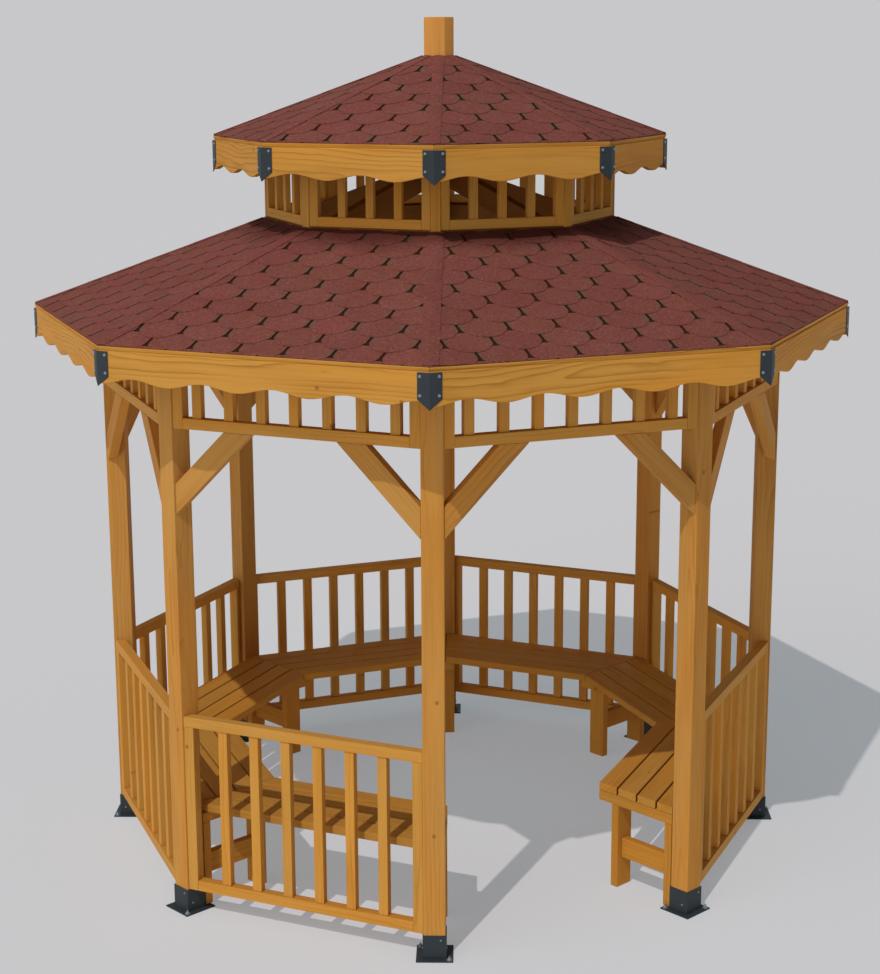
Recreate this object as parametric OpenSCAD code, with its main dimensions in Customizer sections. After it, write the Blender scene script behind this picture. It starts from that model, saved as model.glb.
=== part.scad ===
// Octagonal timber garden gazebo with a two-tier shingled roof, an open
// lantern between the tiers, baluster panels and a fixed bench inside.
// The floor centre is the origin, +Z is up and the open entrance bay faces -Y.
// All sizes are in millimetres.

/* [Posts] */
// Distance from the gazebo's centre to the centre of each post
post_circle = 1500; // [1250:10:2200]
// Side of the square posts
post_w = 90; // [75:1:120]

/* [Post shoes] */
// Width of the base plate's flange around the sleeve
shoe_flange = 27; // [24:1:45]
// Thickness of the base plates
shoe_plate_t = 5; // [4:0.5:8]
// Height of the sleeves above the floor
shoe_h = 104; // [80:1:160]
// Wall of the sleeves
shoe_wall = 3; // [2:0.5:4]
// Diameter of the anchor holes
anchor_hole_d = 12; // [8:0.5:14]
// Distance of the anchor holes from the two nearest plate edges
anchor_inset = 15; // [12:0.5:17]

/* [Rail panels] */
// Height of the top of the rail panels
rail_top = 880; // [760:1:1050]
// Height of the underside of the rail panels above the shoes' sleeves
rail_over_shoe = 2; // [1:1:30]
// Width of the stiles and rails of the wall panels
frame_w = 45; // [38:1:60]
// Thickness of the stiles and rails of the wall panels
frame_t = 45; // [38:1:60]
// Distance of the panels' outer face behind the posts' outer corners
panel_setback = 8; // [4:1:12]
// Thickness of the balusters
baluster_t = 32; // [24:1:38]
// Width of the balusters in the wall panels
baluster_w = 42; // [30:1:50]
// Balusters in each rail panel; a frieze panel has one more at the same spacing
rail_balusters = 6; // [4:1:7]
// Distance from a panel's end to where a further baluster would stand
bar_inset = 35; // [30:1:50]

/* [Frieze panels] */
// Height of the frieze panels, which hang from the wall plates
frieze_h = 387; // [300:1:450]

/* [Knee braces] */
// Width of the brace boards
brace_w = 90; // [70:1:110]
// Length of a brace's lower edge along the post and along the frieze
brace_leg = 358; // [300:1:420]

/* [Bench] */
// Height of the seat
seat_h = 460; // [420:1:500]
// Width of one seat slat
slat_w = 94; // [80:1:110]
// Thickness of the seat slats
slat_t = 36; // [28:1:42]
// Gap between neighbouring slats
slat_gap = 6; // [4:1:10]
// Slats across the seat
slat_count = 4; // [3:1:4]
// Distance from the line between post centres to the seat's rear edge
seat_rear = 46; // [46:1:60]
// Gap in the mitre where two seats meet
mitre_gap = 2; // [1:0.5:4]
// Gap between a slat and a post that it is notched around
notch_gap = 3; // [1:0.5:8]
// Width of the bench bearers and legs
bearer_w = 90; // [70:1:100]
// Height of the bearers under the slats
bearer_h = 44; // [36:1:50]
// Thickness of the legs and of the rails between them
leg_t = 38; // [30:1:45]
// Clear distance between a front leg and its rear leg
leg_span = 259; // [220:1:280]
// Width of the rails between the legs
leg_rail_w = 90; // [60:1:110]
// Height of the underside of the rails between the legs
leg_rail_bottom = 135; // [115:1:200]

/* [Lower roof] */
// Distance from a post's centre to the fascia's outer corner
eave_overhang = 353; // [220:1:450]
// Height of the top of the fascia, where the boarding rests on it
eave_z = 2450; // [2040:1:2940]
// Pitch of the roof faces
roof_pitch = 21.5; // [18:0.5:26]
// Width of the hip rafters
hip_w = 45; // [38:1:60]
// Depth of the hip rafters, measured upright
hip_h = 100; // [80:1:120]
// Width across the flats of the block in the middle, where the rafters meet
hub_w = 130; // [110:1:200]
// Thickness of the roof boarding
deck_t = 16; // [14:1:22]
// Thickness of the shingles
shingle_t = 4; // [3:0.5:6]
// Distance of the boarding's edge behind the fascia's outer face
deck_setback = 6; // [3:0.5:12]
// Distance of the shingles' edge behind the fascia's outer face
shingle_setback = 3; // [1:0.5:6]

/* [Fascia boards] */
// Height of the fascia boards at the low points of the wave
fascia_h = 130; // [110:1:150]
// Thickness of the fascia boards
fascia_t = 25; // [18:1:32]
// Height of the wave cut in the fascia boards' lower edge
wave_h = 24; // [10:1:40]
// Length of one wave
wave_length = 308; // [200:1:400]
// Distance of a high point of the wave from the middle of its board
wave_shift = 60; // [0:1:150]

/* [Corner brackets] */
// Width of each leaf of the bent steel brackets
leaf_w = 50; // [44:1:70]
// Thickness of the brackets
bracket_t = 3; // [2:0.5:5]
// Height of the brackets along the leaves' outer edges
bracket_side_h = 100; // [96:1:120]
// Height of the brackets at the pointed fold
bracket_tip_h = 140; // [120:1:160]
// Diameter of the bolt heads
bolt_d = 13; // [10:0.5:16]
// Height of the bolt heads
bolt_h = 5; // [4:0.5:6]
// Distance of the bolts from the fold
bolt_out = 38; // [30:1:40]
// Distance of the bolts from the top of the bracket and from each other
bolt_rows = [15, 86]; // [0:1:90]

/* [Lantern] */
// Distance from the centre to the centre of each lantern post
lantern_circle = 763; // [650:1:1000]
// Side of the square lantern posts
lantern_post_w = 42; // [36:1:60]
// Thickness of the boards of the curb under the lantern
curb_t = 50; // [50:1:60]
// Distance of the curb's outer face beyond the lantern posts' corners
curb_margin = 2; // [1:0.5:10]
// Height of the curb's top above the shingles around it
curb_lip = 3; // [2:0.5:8]
// Height of the lantern panels above the curb
panel_lift = 6; // [3:0.5:12]
// Distance of the lantern panels' outer face behind the posts' outer corners
lantern_setback = 4; // [2:0.5:8]
// Width of the lantern panels' stiles and rails
lantern_frame_w = 40; // [32:1:50]
// Thickness of the lantern panels' stiles and rails
lantern_frame_t = 30; // [26:1:38]
// Thickness of the lantern balusters
lantern_baluster_t = 24; // [18:1:26]
// Width of the lantern balusters
lantern_baluster_w = 36; // [28:1:44]
// Balusters in each lantern panel
lantern_balusters = 3; // [2:1:4]

/* [Upper roof] */
// Distance from a lantern post's centre to the upper fascia's outer corner
upper_overhang = 250; // [180:1:320]
// Height of the top of the upper fascia above the lantern's curb
lantern_h = 342; // [280:1:450]
// Width of the upper hip rafters
upper_hip_w = 38; // [32:1:50]
// Depth of the upper hip rafters, measured upright
upper_hip_h = 80; // [60:1:100]

/* [King post] */
// Width of the eight-sided king post across its flats
king_w = 130; // [110:1:160]
// Height of the king post above the roof around it
king_rise = 165; // [100:1:260]
// Length of the king post below the rafters
king_drop = 60; // [20:1:120]

/* [Hidden] */

SIDES = 8;
STEP = 360 / SIDES;     // angle from one bay to the next
HALF = STEP / 2;        // angle from a bay's middle to its posts
FIT = 0.3;              // gap left between pieces that bear on each other
LAP = 10;               // length that bars run into the frame that holds them
CUT = 1;                // how far a cutting shape passes the piece it cuts
WAVE_STEPS = 12;        // straight steps in one wave of the fascia

// Half the length of a board at distance a from the centre whose ends lie
// square to the side faces of posts or rafters of width w at the corners
function half_between(a, w) = a * tan(HALF) - w / 2 / cos(HALF);

// A plan point turned about the centre
function turned(p, angle) =
  [p[0] * cos(angle) - p[1] * sin(angle), p[0] * sin(angle) + p[1] * cos(angle)];

// Distance from the centre to a bay's middle line for a corner radius
function apothem(radius) = radius * cos(HALF);

// Plan of one bay's share of an eight-sided ring, with a gap at the mitres
function bay_plan(a_in, a_out, gap) =
  let (g = gap / 2 / cos(HALF), in = a_in * tan(HALF) - g, out = a_out * tan(HALF) - g)
  [[-in, -a_in], [in, -a_in], [out, -a_out], [-out, -a_out]];

// Wall panels
chord_a = apothem(post_circle);
corner_r = post_circle + post_w / 2 - panel_setback;
panel_out = corner_r * cos(HALF) + post_w / 2 * sin(HALF);
panel_in = panel_out - frame_t;
panel_pitch = 2 * (half_between(panel_out, post_w) - bar_inset) / (rail_balusters + 1);
rail_bottom = shoe_h + rail_over_shoe;

// Lower roof: the underside of the boarding falls away from the centre
rise = tan(roof_pitch);
deck_up = deck_t / cos(roof_pitch);
shingle_up = shingle_t / cos(roof_pitch);
eave_a = apothem(post_circle + eave_overhang);
function lower_z(a) = eave_z + (eave_a - a) * rise;
function lower_hip_z(r) = lower_z(r * cos(HALF) + hip_w / 2 * sin(HALF)) - FIT;
post_top = lower_hip_z(post_circle - post_w / 2) - hip_h;
frieze_bottom = post_top - frieze_h;

// Lantern
lantern_corner_r = lantern_circle + lantern_post_w / 2;
lantern_corner_a = lantern_corner_r * cos(HALF) + lantern_post_w / 2 * sin(HALF);
curb_out = lantern_corner_a + curb_margin;
curb_in = curb_out - curb_t;
curb_top = lower_z(curb_out) + deck_up + shingle_up + curb_lip;
lantern_out = lantern_corner_a - lantern_setback;
lantern_in = lantern_out - lantern_frame_t;
lantern_pitch = 2 * (half_between(lantern_out, lantern_post_w) - lantern_frame_w / 2)
  / (lantern_balusters + 1);
lantern_bottom = curb_top + FIT;

// Upper roof
upper_a = apothem(lantern_circle + upper_overhang);
upper_eave_z = curb_top + lantern_h;
function upper_z(a) = upper_eave_z + (upper_a - a) * rise;
function upper_hip_z(r) = upper_z(r * cos(HALF) + upper_hip_w / 2 * sin(HALF)) - FIT;
lantern_top = upper_hip_z(lantern_circle - lantern_post_w / 2) - upper_hip_h;
king_top = upper_z(king_w / 2) + deck_up + shingle_up + king_rise;
king_bottom = upper_hip_z(king_w / 2) - upper_hip_h - king_drop;

// Bench
seat_out = chord_a - seat_rear;
seat_in = seat_out - slat_count * slat_w - (slat_count - 1) * slat_gap;
slat_z = seat_h - slat_t;
bearer_z = slat_z - FIT - bearer_h;
rear_leg_out = post_circle - post_w / 2 - FIT - shoe_wall - FIT;
rear_leg_in = rear_leg_out - leg_t;
front_leg_out = rear_leg_in - leg_span;
bearer_in = (seat_in + bearer_w / 2 * sin(HALF)) / cos(HALF);

// Steel
pocket_w = post_w + 2 * FIT;
sleeve_w = pocket_w + 2 * shoe_wall;
plate_w = sleeve_w + 2 * shoe_flange;
anchor_out = plate_w / 2 - anchor_inset;

// Places its children in bay i, with the bay's outward side towards -Y
module at_bay(i) {
  rotate([0, 0, STEP * (i - 1)]) children();
}

// Places its children at post i, which stands left of bay i seen from outside
module at_post(i) {
  rotate([0, 0, STEP * (i - 1) - HALF]) children();
}

module every_bay() {
  for (i = [1:SIDES]) at_bay(i) children();
}

module every_post() {
  for (i = [1:SIDES]) at_post(i) children();
}

// Box in a bay between the distances a_in and a_out from the centre
module bay_box(half, a_in, a_out, z0, z1) {
  translate([-half, -a_out, z0]) cube([2 * half, a_out - a_in, z1 - z0]);
}

// Upright prism over the outline of an area in plan
module over(points, z0, z1) {
  translate([0, 0, z0]) linear_extrude(height = z1 - z0) polygon(points);
}

// Outline in distance from the centre and height, drawn across the width
module across(points, width) {
  rotate([90, 0, 90]) translate([0, 0, -width / 2])
    linear_extrude(height = width) polygon([for (p = points) [-p[0], p[1]]]);
}

// Outline in width and height, drawn from the distance a_in out to a_out
module along(points, a_in, a_out) {
  translate([0, -a_in, 0]) rotate([90, 0, 0])
    linear_extrude(height = a_out - a_in) polygon(points);
}

// Eight-sided block in the middle, w across its flats
module eight_sided_block(w, z0, z1) {
  translate([0, 0, z0]) cylinder(r = w / 2 / cos(HALF), h = z1 - z0, $fn = SIDES);
}

// ---- Posts and shoes ----

// Square block of width w centred on a post
module post_block(w, z0, z1) {
  translate([-w / 2, -post_circle - w / 2, z0]) cube([w, w, z1 - z0]);
}

module post(i) {
  color("peru") at_post(i) post_block(post_w, shoe_plate_t + FIT, post_top);
}

module post_shoe() {
  difference() {
    union() {
      post_block(plate_w, 0, shoe_plate_t);
      post_block(sleeve_w, 0, shoe_h);
    }
    post_block(pocket_w, shoe_plate_t, shoe_h + CUT);
    for (side = [-1, 1])
      translate([side * anchor_out, -post_circle - side * anchor_out, -CUT])
        cylinder(d = anchor_hole_d, h = shoe_plate_t + 2 * CUT, $fn = 48);
  }
}

module post_shoes() {
  color("darkslategray") every_post() post_shoe();
}

// ---- Wall panels ----

// Framed panel with n upright balusters between two posts of width side;
// its ends are bevelled to lie flat against the posts
module baluster_panel(side, a_in, t, z0, z1, w, n, pitch, bar_w, bar_t) {
  a_out = a_in + t;
  half_in = half_between(a_in, side) - FIT;
  half_out = half_between(a_out, side) - FIT;
  difference() {
    over([[-half_in, -a_in], [half_in, -a_in], [half_out, -a_out], [-half_out, -a_out]], z0, z1);
    bay_box(half_out - w, a_in - CUT, a_out + CUT, z0 + w, z1 - w);
  }
  for (i = [0:n - 1])
    translate([(i - (n - 1) / 2) * pitch - bar_w / 2, -a_in - (t + bar_t) / 2, z0 + w - LAP])
      cube([bar_w, bar_t, z1 - z0 - 2 * (w - LAP)]);
}

module rail_panel(bay) {
  color("burlywood") at_bay(bay)
    baluster_panel(post_w, panel_in, frame_t, rail_bottom, rail_top, frame_w,
      rail_balusters, panel_pitch, baluster_w, baluster_t);
}

module frieze_panel(bay) {
  color("burlywood") at_bay(bay)
    baluster_panel(post_w, panel_in, frame_t, frieze_bottom, post_top, frame_w,
      rail_balusters + 1, panel_pitch, baluster_w, baluster_t);
}

module knee_brace() {
  out = half_between(panel_out, post_w) - FIT;
  in = half_between(panel_in, post_w) - FIT;
  top = frieze_bottom - FIT;
  inner_leg = brace_leg - brace_w / cos(45);
  reach = out + CUT;
  intersection() {
    along([
      [reach, top - brace_leg - CUT], [reach, top - inner_leg - CUT],
      [out - inner_leg, top], [out - brace_leg, top]
    ], panel_in, panel_out);
    over([
      [0, -panel_in], [in, -panel_in], [out, -panel_out], [0, -panel_out]
    ], top - brace_leg - 2 * CUT, top + CUT);
  }
}

module knee_braces() {
  color("peru") every_bay() {
    knee_brace();
    mirror([1, 0, 0]) knee_brace();
  }
}

// ---- Bench ----

// Plan of a seat slat between a_in and a_out; an end that meets no other
// seat runs on over its bearer
function slat_plan(a_in, a_out, left_free, right_free) =
  let (
    g = mitre_gap / 2 / cos(HALF), e = bearer_w / 2 / cos(HALF),
    left = left_free ? e : -g, right = right_free ? e : -g
  )
  [
    [-a_in * tan(HALF) - left, -a_in], [a_in * tan(HALF) + right, -a_in],
    [a_out * tan(HALF) + right, -a_out], [-a_out * tan(HALF) - left, -a_out]
  ];

module bench_seat(bay) {
  left_free = bay == 2;
  right_free = bay == SIDES;
  color("sandybrown") at_bay(bay) difference() {
    for (i = [0:slat_count - 1]) {
      a = seat_in + i * (slat_w + slat_gap);
      over(slat_plan(a, a + slat_w, left_free, right_free), slat_z, seat_h);
    }
    for (side = [-1, 1])
      rotate([0, 0, side * HALF]) post_block(post_w + 2 * notch_gap, slat_z - CUT, seat_h + CUT);
  }
}

// Box at a post between the distances r_in and r_out from the centre
module frame_box(w, r_in, r_out, z0, z1) {
  translate([-w / 2, -r_out, z0]) cube([w, r_out - r_in, z1 - z0]);
}

module bench_frame() {
  leg_top = bearer_z - FIT;
  frame_box(bearer_w, bearer_in, rear_leg_out, bearer_z, bearer_z + bearer_h);
  frame_box(bearer_w, rear_leg_in, rear_leg_out, shoe_plate_t + FIT, leg_top);
  frame_box(bearer_w, front_leg_out - leg_t, front_leg_out, 0, leg_top);
  frame_box(leg_t, front_leg_out + FIT, rear_leg_in - FIT,
    leg_rail_bottom, leg_rail_bottom + leg_rail_w);
}

module bench_frames() {
  color("sandybrown") every_post() bench_frame();
}

// ---- Roofs ----

// Rafter from r_in to r_out with its upright depth h below the line from
// z_in to z_out
module rafter(r_in, r_out, z_in, z_out, w, h) {
  across([[r_out, z_out], [r_in, z_in], [r_in, z_in - h], [r_out, z_out - h]], w);
}

// Hip rafter, notched over the post that carries it
module hip_rafter(r_in, r_out, z_in, z_out, w, h, post_r, post_side, seat_z) {
  notch = post_side + 2 * FIT;
  difference() {
    rafter(r_in, r_out, z_in, z_out, w, h);
    translate([-notch / 2, -post_r - notch / 2, seat_z + FIT - h])
      cube([notch, notch, h]);
  }
}

// Plate on top of the panels, bevelled to carry the boarding
module wall_plate(a_in, a_out, half, z0, z_in, z_out) {
  across([[a_out, z0], [a_out, z_out], [a_in, z_in], [a_in, z0]], 2 * half);
}

// Rafters that run on in the hips' line from the curb to the block in the
// middle, open to view below the lantern
module inner_rafters() {
  r_in = hub_w / 2 + FIT;
  r_out = (curb_in - FIT - hip_w / 2 * sin(HALF)) / cos(HALF);
  every_post()
    rafter(r_in, r_out, lower_hip_z(r_in), lower_hip_z(r_out), hip_w, hip_h);
  eight_sided_block(hub_w, lower_hip_z(r_in) - hip_h, lower_hip_z(r_in));
}

module lower_roof_frame() {
  tail_r = (eave_a - fascia_t - FIT - hip_w / 2 * sin(HALF)) / cos(HALF);
  head_r = (curb_out + FIT) / cos(HALF);
  plate_half = half_between(panel_in, hip_w) - FIT;
  color("tan") {
    every_post()
      hip_rafter(head_r, tail_r, lower_hip_z(head_r), lower_hip_z(tail_r), hip_w, hip_h,
        post_circle, post_w, post_top);
    every_bay() {
      wall_plate(panel_in, panel_out, plate_half, post_top + FIT,
        lower_z(panel_in) - FIT, lower_z(panel_out) - FIT);
      over(bay_plan(curb_in, curb_out, FIT), lower_hip_z(head_r) - hip_h, curb_top);
    }
    inner_rafters();
  }
}

// One face of a roof layer: its underside rises inwards from z_out at a_ref
module roof_face(a_in, a_out, a_ref, z_ref, up) {
  z_in = z_ref + (a_ref - a_in) * rise;
  z_out = z_ref + (a_ref - a_out) * rise;
  intersection() {
    across([[a_out, z_out], [a_out, z_out + up], [a_in, z_in + up], [a_in, z_in]], 4 * a_out);
    over(bay_plan(a_in, a_out, 2 * FIT), z_out - CUT, z_in + up + CUT);
  }
}

// The king post, grown by a clearance all round
module king_prism(clearance, z0, z1) {
  eight_sided_block(king_w + 2 * clearance, z0, z1);
}

module lower_roof_boards() {
  color("tan") every_bay()
    roof_face(curb_out + FIT, eave_a - deck_setback, eave_a, eave_z, deck_up);
}

module lower_roof_shingles() {
  color("indianred") every_bay()
    roof_face(curb_out + FIT, eave_a - shingle_setback, eave_a, eave_z + deck_up + FIT, shingle_up);
}

module upper_roof_frame() {
  tail_r = (upper_a - fascia_t - FIT - upper_hip_w / 2 * sin(HALF)) / cos(HALF);
  head_r = king_w / 2 + FIT;
  plate_half = half_between(lantern_in, upper_hip_w) - FIT;
  color("tan") {
    every_post()
      hip_rafter(head_r, tail_r, upper_hip_z(head_r), upper_hip_z(tail_r), upper_hip_w,
        upper_hip_h, lantern_circle, lantern_post_w, lantern_top);
    every_bay()
      wall_plate(lantern_in, lantern_out, plate_half, lantern_top + FIT,
        upper_z(lantern_in) - FIT, upper_z(lantern_out) - FIT);
  }
}

module upper_roof_layer(setback, z, up) {
  every_bay() difference() {
    roof_face(king_w / 4, upper_a - setback, upper_a, z, up);
    king_prism(FIT, king_bottom, king_top);
  }
}

module upper_roof_boards() {
  color("tan") upper_roof_layer(deck_setback, upper_eave_z, deck_up);
}

module upper_roof_shingles() {
  color("indianred")
    upper_roof_layer(shingle_setback, upper_eave_z + deck_up + FIT, shingle_up);
}

module king_post() {
  color("peru") king_prism(0, king_bottom, king_top);
}

// ---- Fascia boards and brackets ----

// Outline of a fascia board with its lower edge cut in waves
function fascia_outline(half, top) =
  let (n = ceil(2 * half / wave_length * WAVE_STEPS), step = 2 * half / n)
  concat(
    [[half, top], [-half, top]],
    [for (i = [0:n])
      let (x = -half + i * step)
      [x, top - fascia_h + wave_h * (1 + cos(360 * (x - wave_shift) / wave_length)) / 2]]
  );

module fascia(a_out, top) {
  every_bay() intersection() {
    along(fascia_outline(a_out * tan(HALF), top), a_out - fascia_t, a_out);
    over(bay_plan(a_out - fascia_t - CUT, a_out + CUT, FIT), top - fascia_h - CUT, top + CUT);
  }
}

module lower_fascia() {
  color("burlywood") fascia(eave_a, eave_z - FIT);
}

module upper_fascia() {
  color("burlywood") fascia(upper_a, upper_eave_z - FIT);
}

// Bent steel bracket that wraps the fascia's corner, pointed below the fold
module corner_bracket(a_face, top) {
  a_in = a_face + FIT;
  a_out = a_in + bracket_t;
  fold = a_out * tan(HALF);
  end_out = turned([leaf_w - fold, -a_out], HALF);
  end_in = turned([leaf_w - fold, -a_in], HALF);
  intersection() {
    over([
      [0, -a_out / cos(HALF)], end_out, end_in,
      [0, -a_in / cos(HALF)], [-end_in[0], end_in[1]], [-end_out[0], end_out[1]]
    ], top - bracket_tip_h, top);
    along([
      [-leaf_w, top], [-leaf_w, top - bracket_side_h], [-end_out[0], top - bracket_side_h],
      [0, top - bracket_tip_h],
      [end_out[0], top - bracket_side_h], [leaf_w, top - bracket_side_h], [leaf_w, top]
    ], a_in, a_out / cos(HALF) + CUT);
  }
}

module corner_brackets() {
  color("dimgray") every_post() {
    corner_bracket(eave_a, eave_z - FIT);
    corner_bracket(upper_a, upper_eave_z - FIT);
  }
}

// Bolt heads on the two leaves of one bracket
module bracket_bolt_heads(a_face, top) {
  seat = a_face + FIT + bracket_t + FIT;
  reach = (a_face + FIT + bracket_t) * tan(HALF) - bolt_out;
  for (side = [-1, 1], row = bolt_rows)
    translate([side * reach, -seat, top - row]) rotate([90, 0, 0])
      cylinder(d = bolt_d, h = bolt_h, $fn = 32);
}

module bracket_bolts() {
  color("silver") every_bay() {
    bracket_bolt_heads(eave_a, eave_z - FIT);
    bracket_bolt_heads(upper_a, upper_eave_z - FIT);
  }
}

// ---- Lantern ----

module lantern_posts() {
  color("peru") every_post()
    frame_box(lantern_post_w, lantern_circle - lantern_post_w / 2, lantern_corner_r,
      lantern_bottom, lantern_top);
}

module lantern_panels() {
  color("burlywood") every_bay()
    baluster_panel(lantern_post_w, lantern_in, lantern_frame_t,
      lantern_bottom + panel_lift, lantern_top, lantern_frame_w,
      lantern_balusters, lantern_pitch, lantern_baluster_w, lantern_baluster_t);
}

post(1);  // post_1
post(2);  // post_2
post(3);  // post_3
post(4);  // post_4
post(5);  // post_5
post(6);  // post_6
post(7);  // post_7
post(8);  // post_8
post_shoes();
rail_panel(2);  // rail_panel_1
rail_panel(3);  // rail_panel_2
rail_panel(4);  // rail_panel_3
rail_panel(5);  // rail_panel_4
rail_panel(6);  // rail_panel_5
rail_panel(7);  // rail_panel_6
rail_panel(8);  // rail_panel_7
frieze_panel(1);  // frieze_panel_1
frieze_panel(2);  // frieze_panel_2
frieze_panel(3);  // frieze_panel_3
frieze_panel(4);  // frieze_panel_4
frieze_panel(5);  // frieze_panel_5
frieze_panel(6);  // frieze_panel_6
frieze_panel(7);  // frieze_panel_7
frieze_panel(8);  // frieze_panel_8
knee_braces();
bench_seat(2);  // bench_seat_1
bench_seat(3);  // bench_seat_2
bench_seat(4);  // bench_seat_3
bench_seat(5);  // bench_seat_4
bench_seat(6);  // bench_seat_5
bench_seat(7);  // bench_seat_6
bench_seat(8);  // bench_seat_7
bench_frames();
lower_roof_frame();
lower_roof_boards();
lower_roof_shingles();
lower_fascia();
corner_brackets();
bracket_bolts();
lantern_posts();
lantern_panels();
upper_roof_frame();
upper_roof_boards();
upper_roof_shingles();
upper_fascia();
king_post();
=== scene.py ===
# %% [markdown]
# # An octagonal garden gazebo
# This lesson dresses a packed construction model of a timber gazebo. The
# construction model gives every size and place. Here each board is planed again
# with rounded arrises and its own grain, the roofs get single shingle tabs, and
# the steel gets its powder coat.

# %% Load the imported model
import math

import bpy
import numpy as np
from mathutils import Matrix, Vector


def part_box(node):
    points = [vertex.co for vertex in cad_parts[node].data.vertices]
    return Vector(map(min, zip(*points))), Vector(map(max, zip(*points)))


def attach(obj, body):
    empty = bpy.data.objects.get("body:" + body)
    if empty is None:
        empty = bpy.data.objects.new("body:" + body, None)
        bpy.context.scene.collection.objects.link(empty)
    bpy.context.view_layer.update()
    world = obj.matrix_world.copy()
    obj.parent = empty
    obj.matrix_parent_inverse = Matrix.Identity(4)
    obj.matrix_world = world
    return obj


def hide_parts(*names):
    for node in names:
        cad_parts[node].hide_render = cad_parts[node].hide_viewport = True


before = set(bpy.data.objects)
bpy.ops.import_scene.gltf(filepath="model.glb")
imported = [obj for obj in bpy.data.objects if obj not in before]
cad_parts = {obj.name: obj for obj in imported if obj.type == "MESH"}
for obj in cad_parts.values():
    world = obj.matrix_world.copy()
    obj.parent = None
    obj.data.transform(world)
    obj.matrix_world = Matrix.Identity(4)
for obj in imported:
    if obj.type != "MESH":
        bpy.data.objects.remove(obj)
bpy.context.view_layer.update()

print("construction nodes:", len(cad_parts))

# %% [markdown]
# ## The camera
# The gazebo is seen from well above head height, as from a ladder, looking
# slightly down at one corner of the octagon. A 71 mm lens at 9 m keeps the
# uprights almost parallel. The camera is aimed by three plain angles, so that
# another view can be tried by changing one of them.

# %% Place the camera
CAMERA_AZIMUTH = math.radians(-21.305)
CAMERA_DISTANCE = 8.6846
CAMERA_HEIGHT = 3.5667
CAMERA_PITCH = math.radians(-12.695)
CAMERA_YAW = math.radians(-0.02)
CAMERA_ROLL = math.radians(-0.239)
LENS_MM, SENSOR_MM, FARTHEST = 70.815, 36.0, 1000.0
lens = bpy.data.cameras.new("viewpoint")
lens.lens, lens.sensor_width, lens.clip_end = LENS_MM, SENSOR_MM, FARTHEST
viewpoint = bpy.data.objects.new("viewpoint", lens)
bpy.context.scene.collection.objects.link(viewpoint)
viewpoint.matrix_world = (
    Matrix.Translation((
        CAMERA_DISTANCE * math.sin(CAMERA_AZIMUTH),
        -CAMERA_DISTANCE * math.cos(CAMERA_AZIMUTH),
        CAMERA_HEIGHT,
    ))
    @ Matrix.Rotation(CAMERA_AZIMUTH - CAMERA_YAW, 4, "Z")
    @ Matrix.Rotation(math.pi / 2 + CAMERA_PITCH, 4, "X")
    @ Matrix.Rotation(CAMERA_ROLL, 4, "Z")
)
bpy.context.scene.camera = viewpoint
bpy.context.scene.view_settings.view_transform = "Standard"
print("camera at", [round(v, 3) for v in viewpoint.matrix_world.translation])

# %% [markdown]
# ## Joiner's sizes
# A drawing of one bay and one post is enough, because the gazebo repeats itself
# eight times. Lengths are in metres. Heights that the construction model
# decides are read from its nodes, so the boards always meet.

# %% Sizes that the whole gazebo shares
SIDES = 8
STEP = 360 / SIDES
HALF = math.radians(STEP / 2)
SIN, COS, TAN = math.sin(HALF), math.cos(HALF), math.tan(HALF)
FIT = 0.0003
POST_CIRCLE, POST_W = 1.5, 0.090
PITCH = math.radians(21.5)
RISE = math.tan(PITCH)
CHORD = POST_CIRCLE * COS

post_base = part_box("post_1")[0].z
post_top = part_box("post_1")[1].z
rail_low, rail_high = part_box("rail_panel_4")
frieze_low, frieze_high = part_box("frieze_panel_1")
panel_in, panel_out = rail_low.y, rail_high.y
seat_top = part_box("bench_seat_4")[1].z
eave_a = -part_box("lower_fascia")[0].y
eave_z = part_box("lower_fascia")[1].z + FIT
upper_a = -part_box("upper_fascia")[0].y
upper_eave_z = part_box("upper_fascia")[1].z + FIT
slope_normal = Vector((0, -math.sin(PITCH), math.cos(PITCH)))


def half_between(a, width):
    """Half the clear length at distance a from the middle, between square
    posts or rafters of that width on the octagon's corners."""
    return a * TAN - width / 2 / COS


def square(width, z0, z1):
    """The corners of a square block round the first post's middle."""
    half = width / 2
    return (-half, -POST_CIRCLE - half, z0), (half, -POST_CIRCLE + half, z1)


def mitres(setback):
    """The sawing planes at both ends of a bay, each set back from its corner."""
    return [((-side * setback, 0, 0), (side * COS, SIN, 0)) for side in (-1, 1)]


print(f"posts {post_base:.3f} to {post_top:.3f}, eaves at {eave_a:.3f} and {upper_a:.3f}")

# %% [markdown]
# ## Timber that knows its own grain
# Every board of a real gazebo is cut from a different tree, and its grain runs
# along its length. A pattern on plain object coordinates would run through
# neighbouring boards as if they were one block. So each board keeps a vector
# attribute with its own length, width and thickness directions, and one number
# that says which tree it came from.

# %% Helpers that start, cut and round a board
TREES = np.random.default_rng(23)
ARRIS, THIN_ARRIS = 0.003, 0.002


def mode(name):
    bpy.ops.object.mode_set(mode=name)


def deselect():
    """Nothing is selected, so the next operator acts only on what is new."""
    if bpy.context.mode != "OBJECT":
        mode("OBJECT")
    bpy.ops.object.select_all(action="DESELECT")


def work_on(piece):
    deselect()
    piece.select_set(True)
    bpy.context.view_layer.objects.active = piece


def primitive(add, stretch=None, **settings):
    """Adds a primitive on its own, and keeps its size and place in its mesh."""
    deselect()
    add(**settings)
    piece = bpy.context.object
    if stretch:
        piece.scale = stretch
    bpy.ops.object.transform_apply(location=True, rotation=True, scale=True)
    return piece


def block(low, high, turn=(0, 0, 0)):
    """A squared block between two corners, turned about its middle."""
    low, high = Vector(low), Vector(high)
    return primitive(
        bpy.ops.mesh.primitive_cube_add,
        size=1, location=(low + high) / 2, rotation=turn, scale=high - low,
    )


def cylinder(sides, width, height, middle=(0, 0, 0)):
    return primitive(
        bpy.ops.mesh.primitive_cylinder_add,
        vertices=sides, radius=width / 2, depth=height, location=middle,
    )


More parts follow.
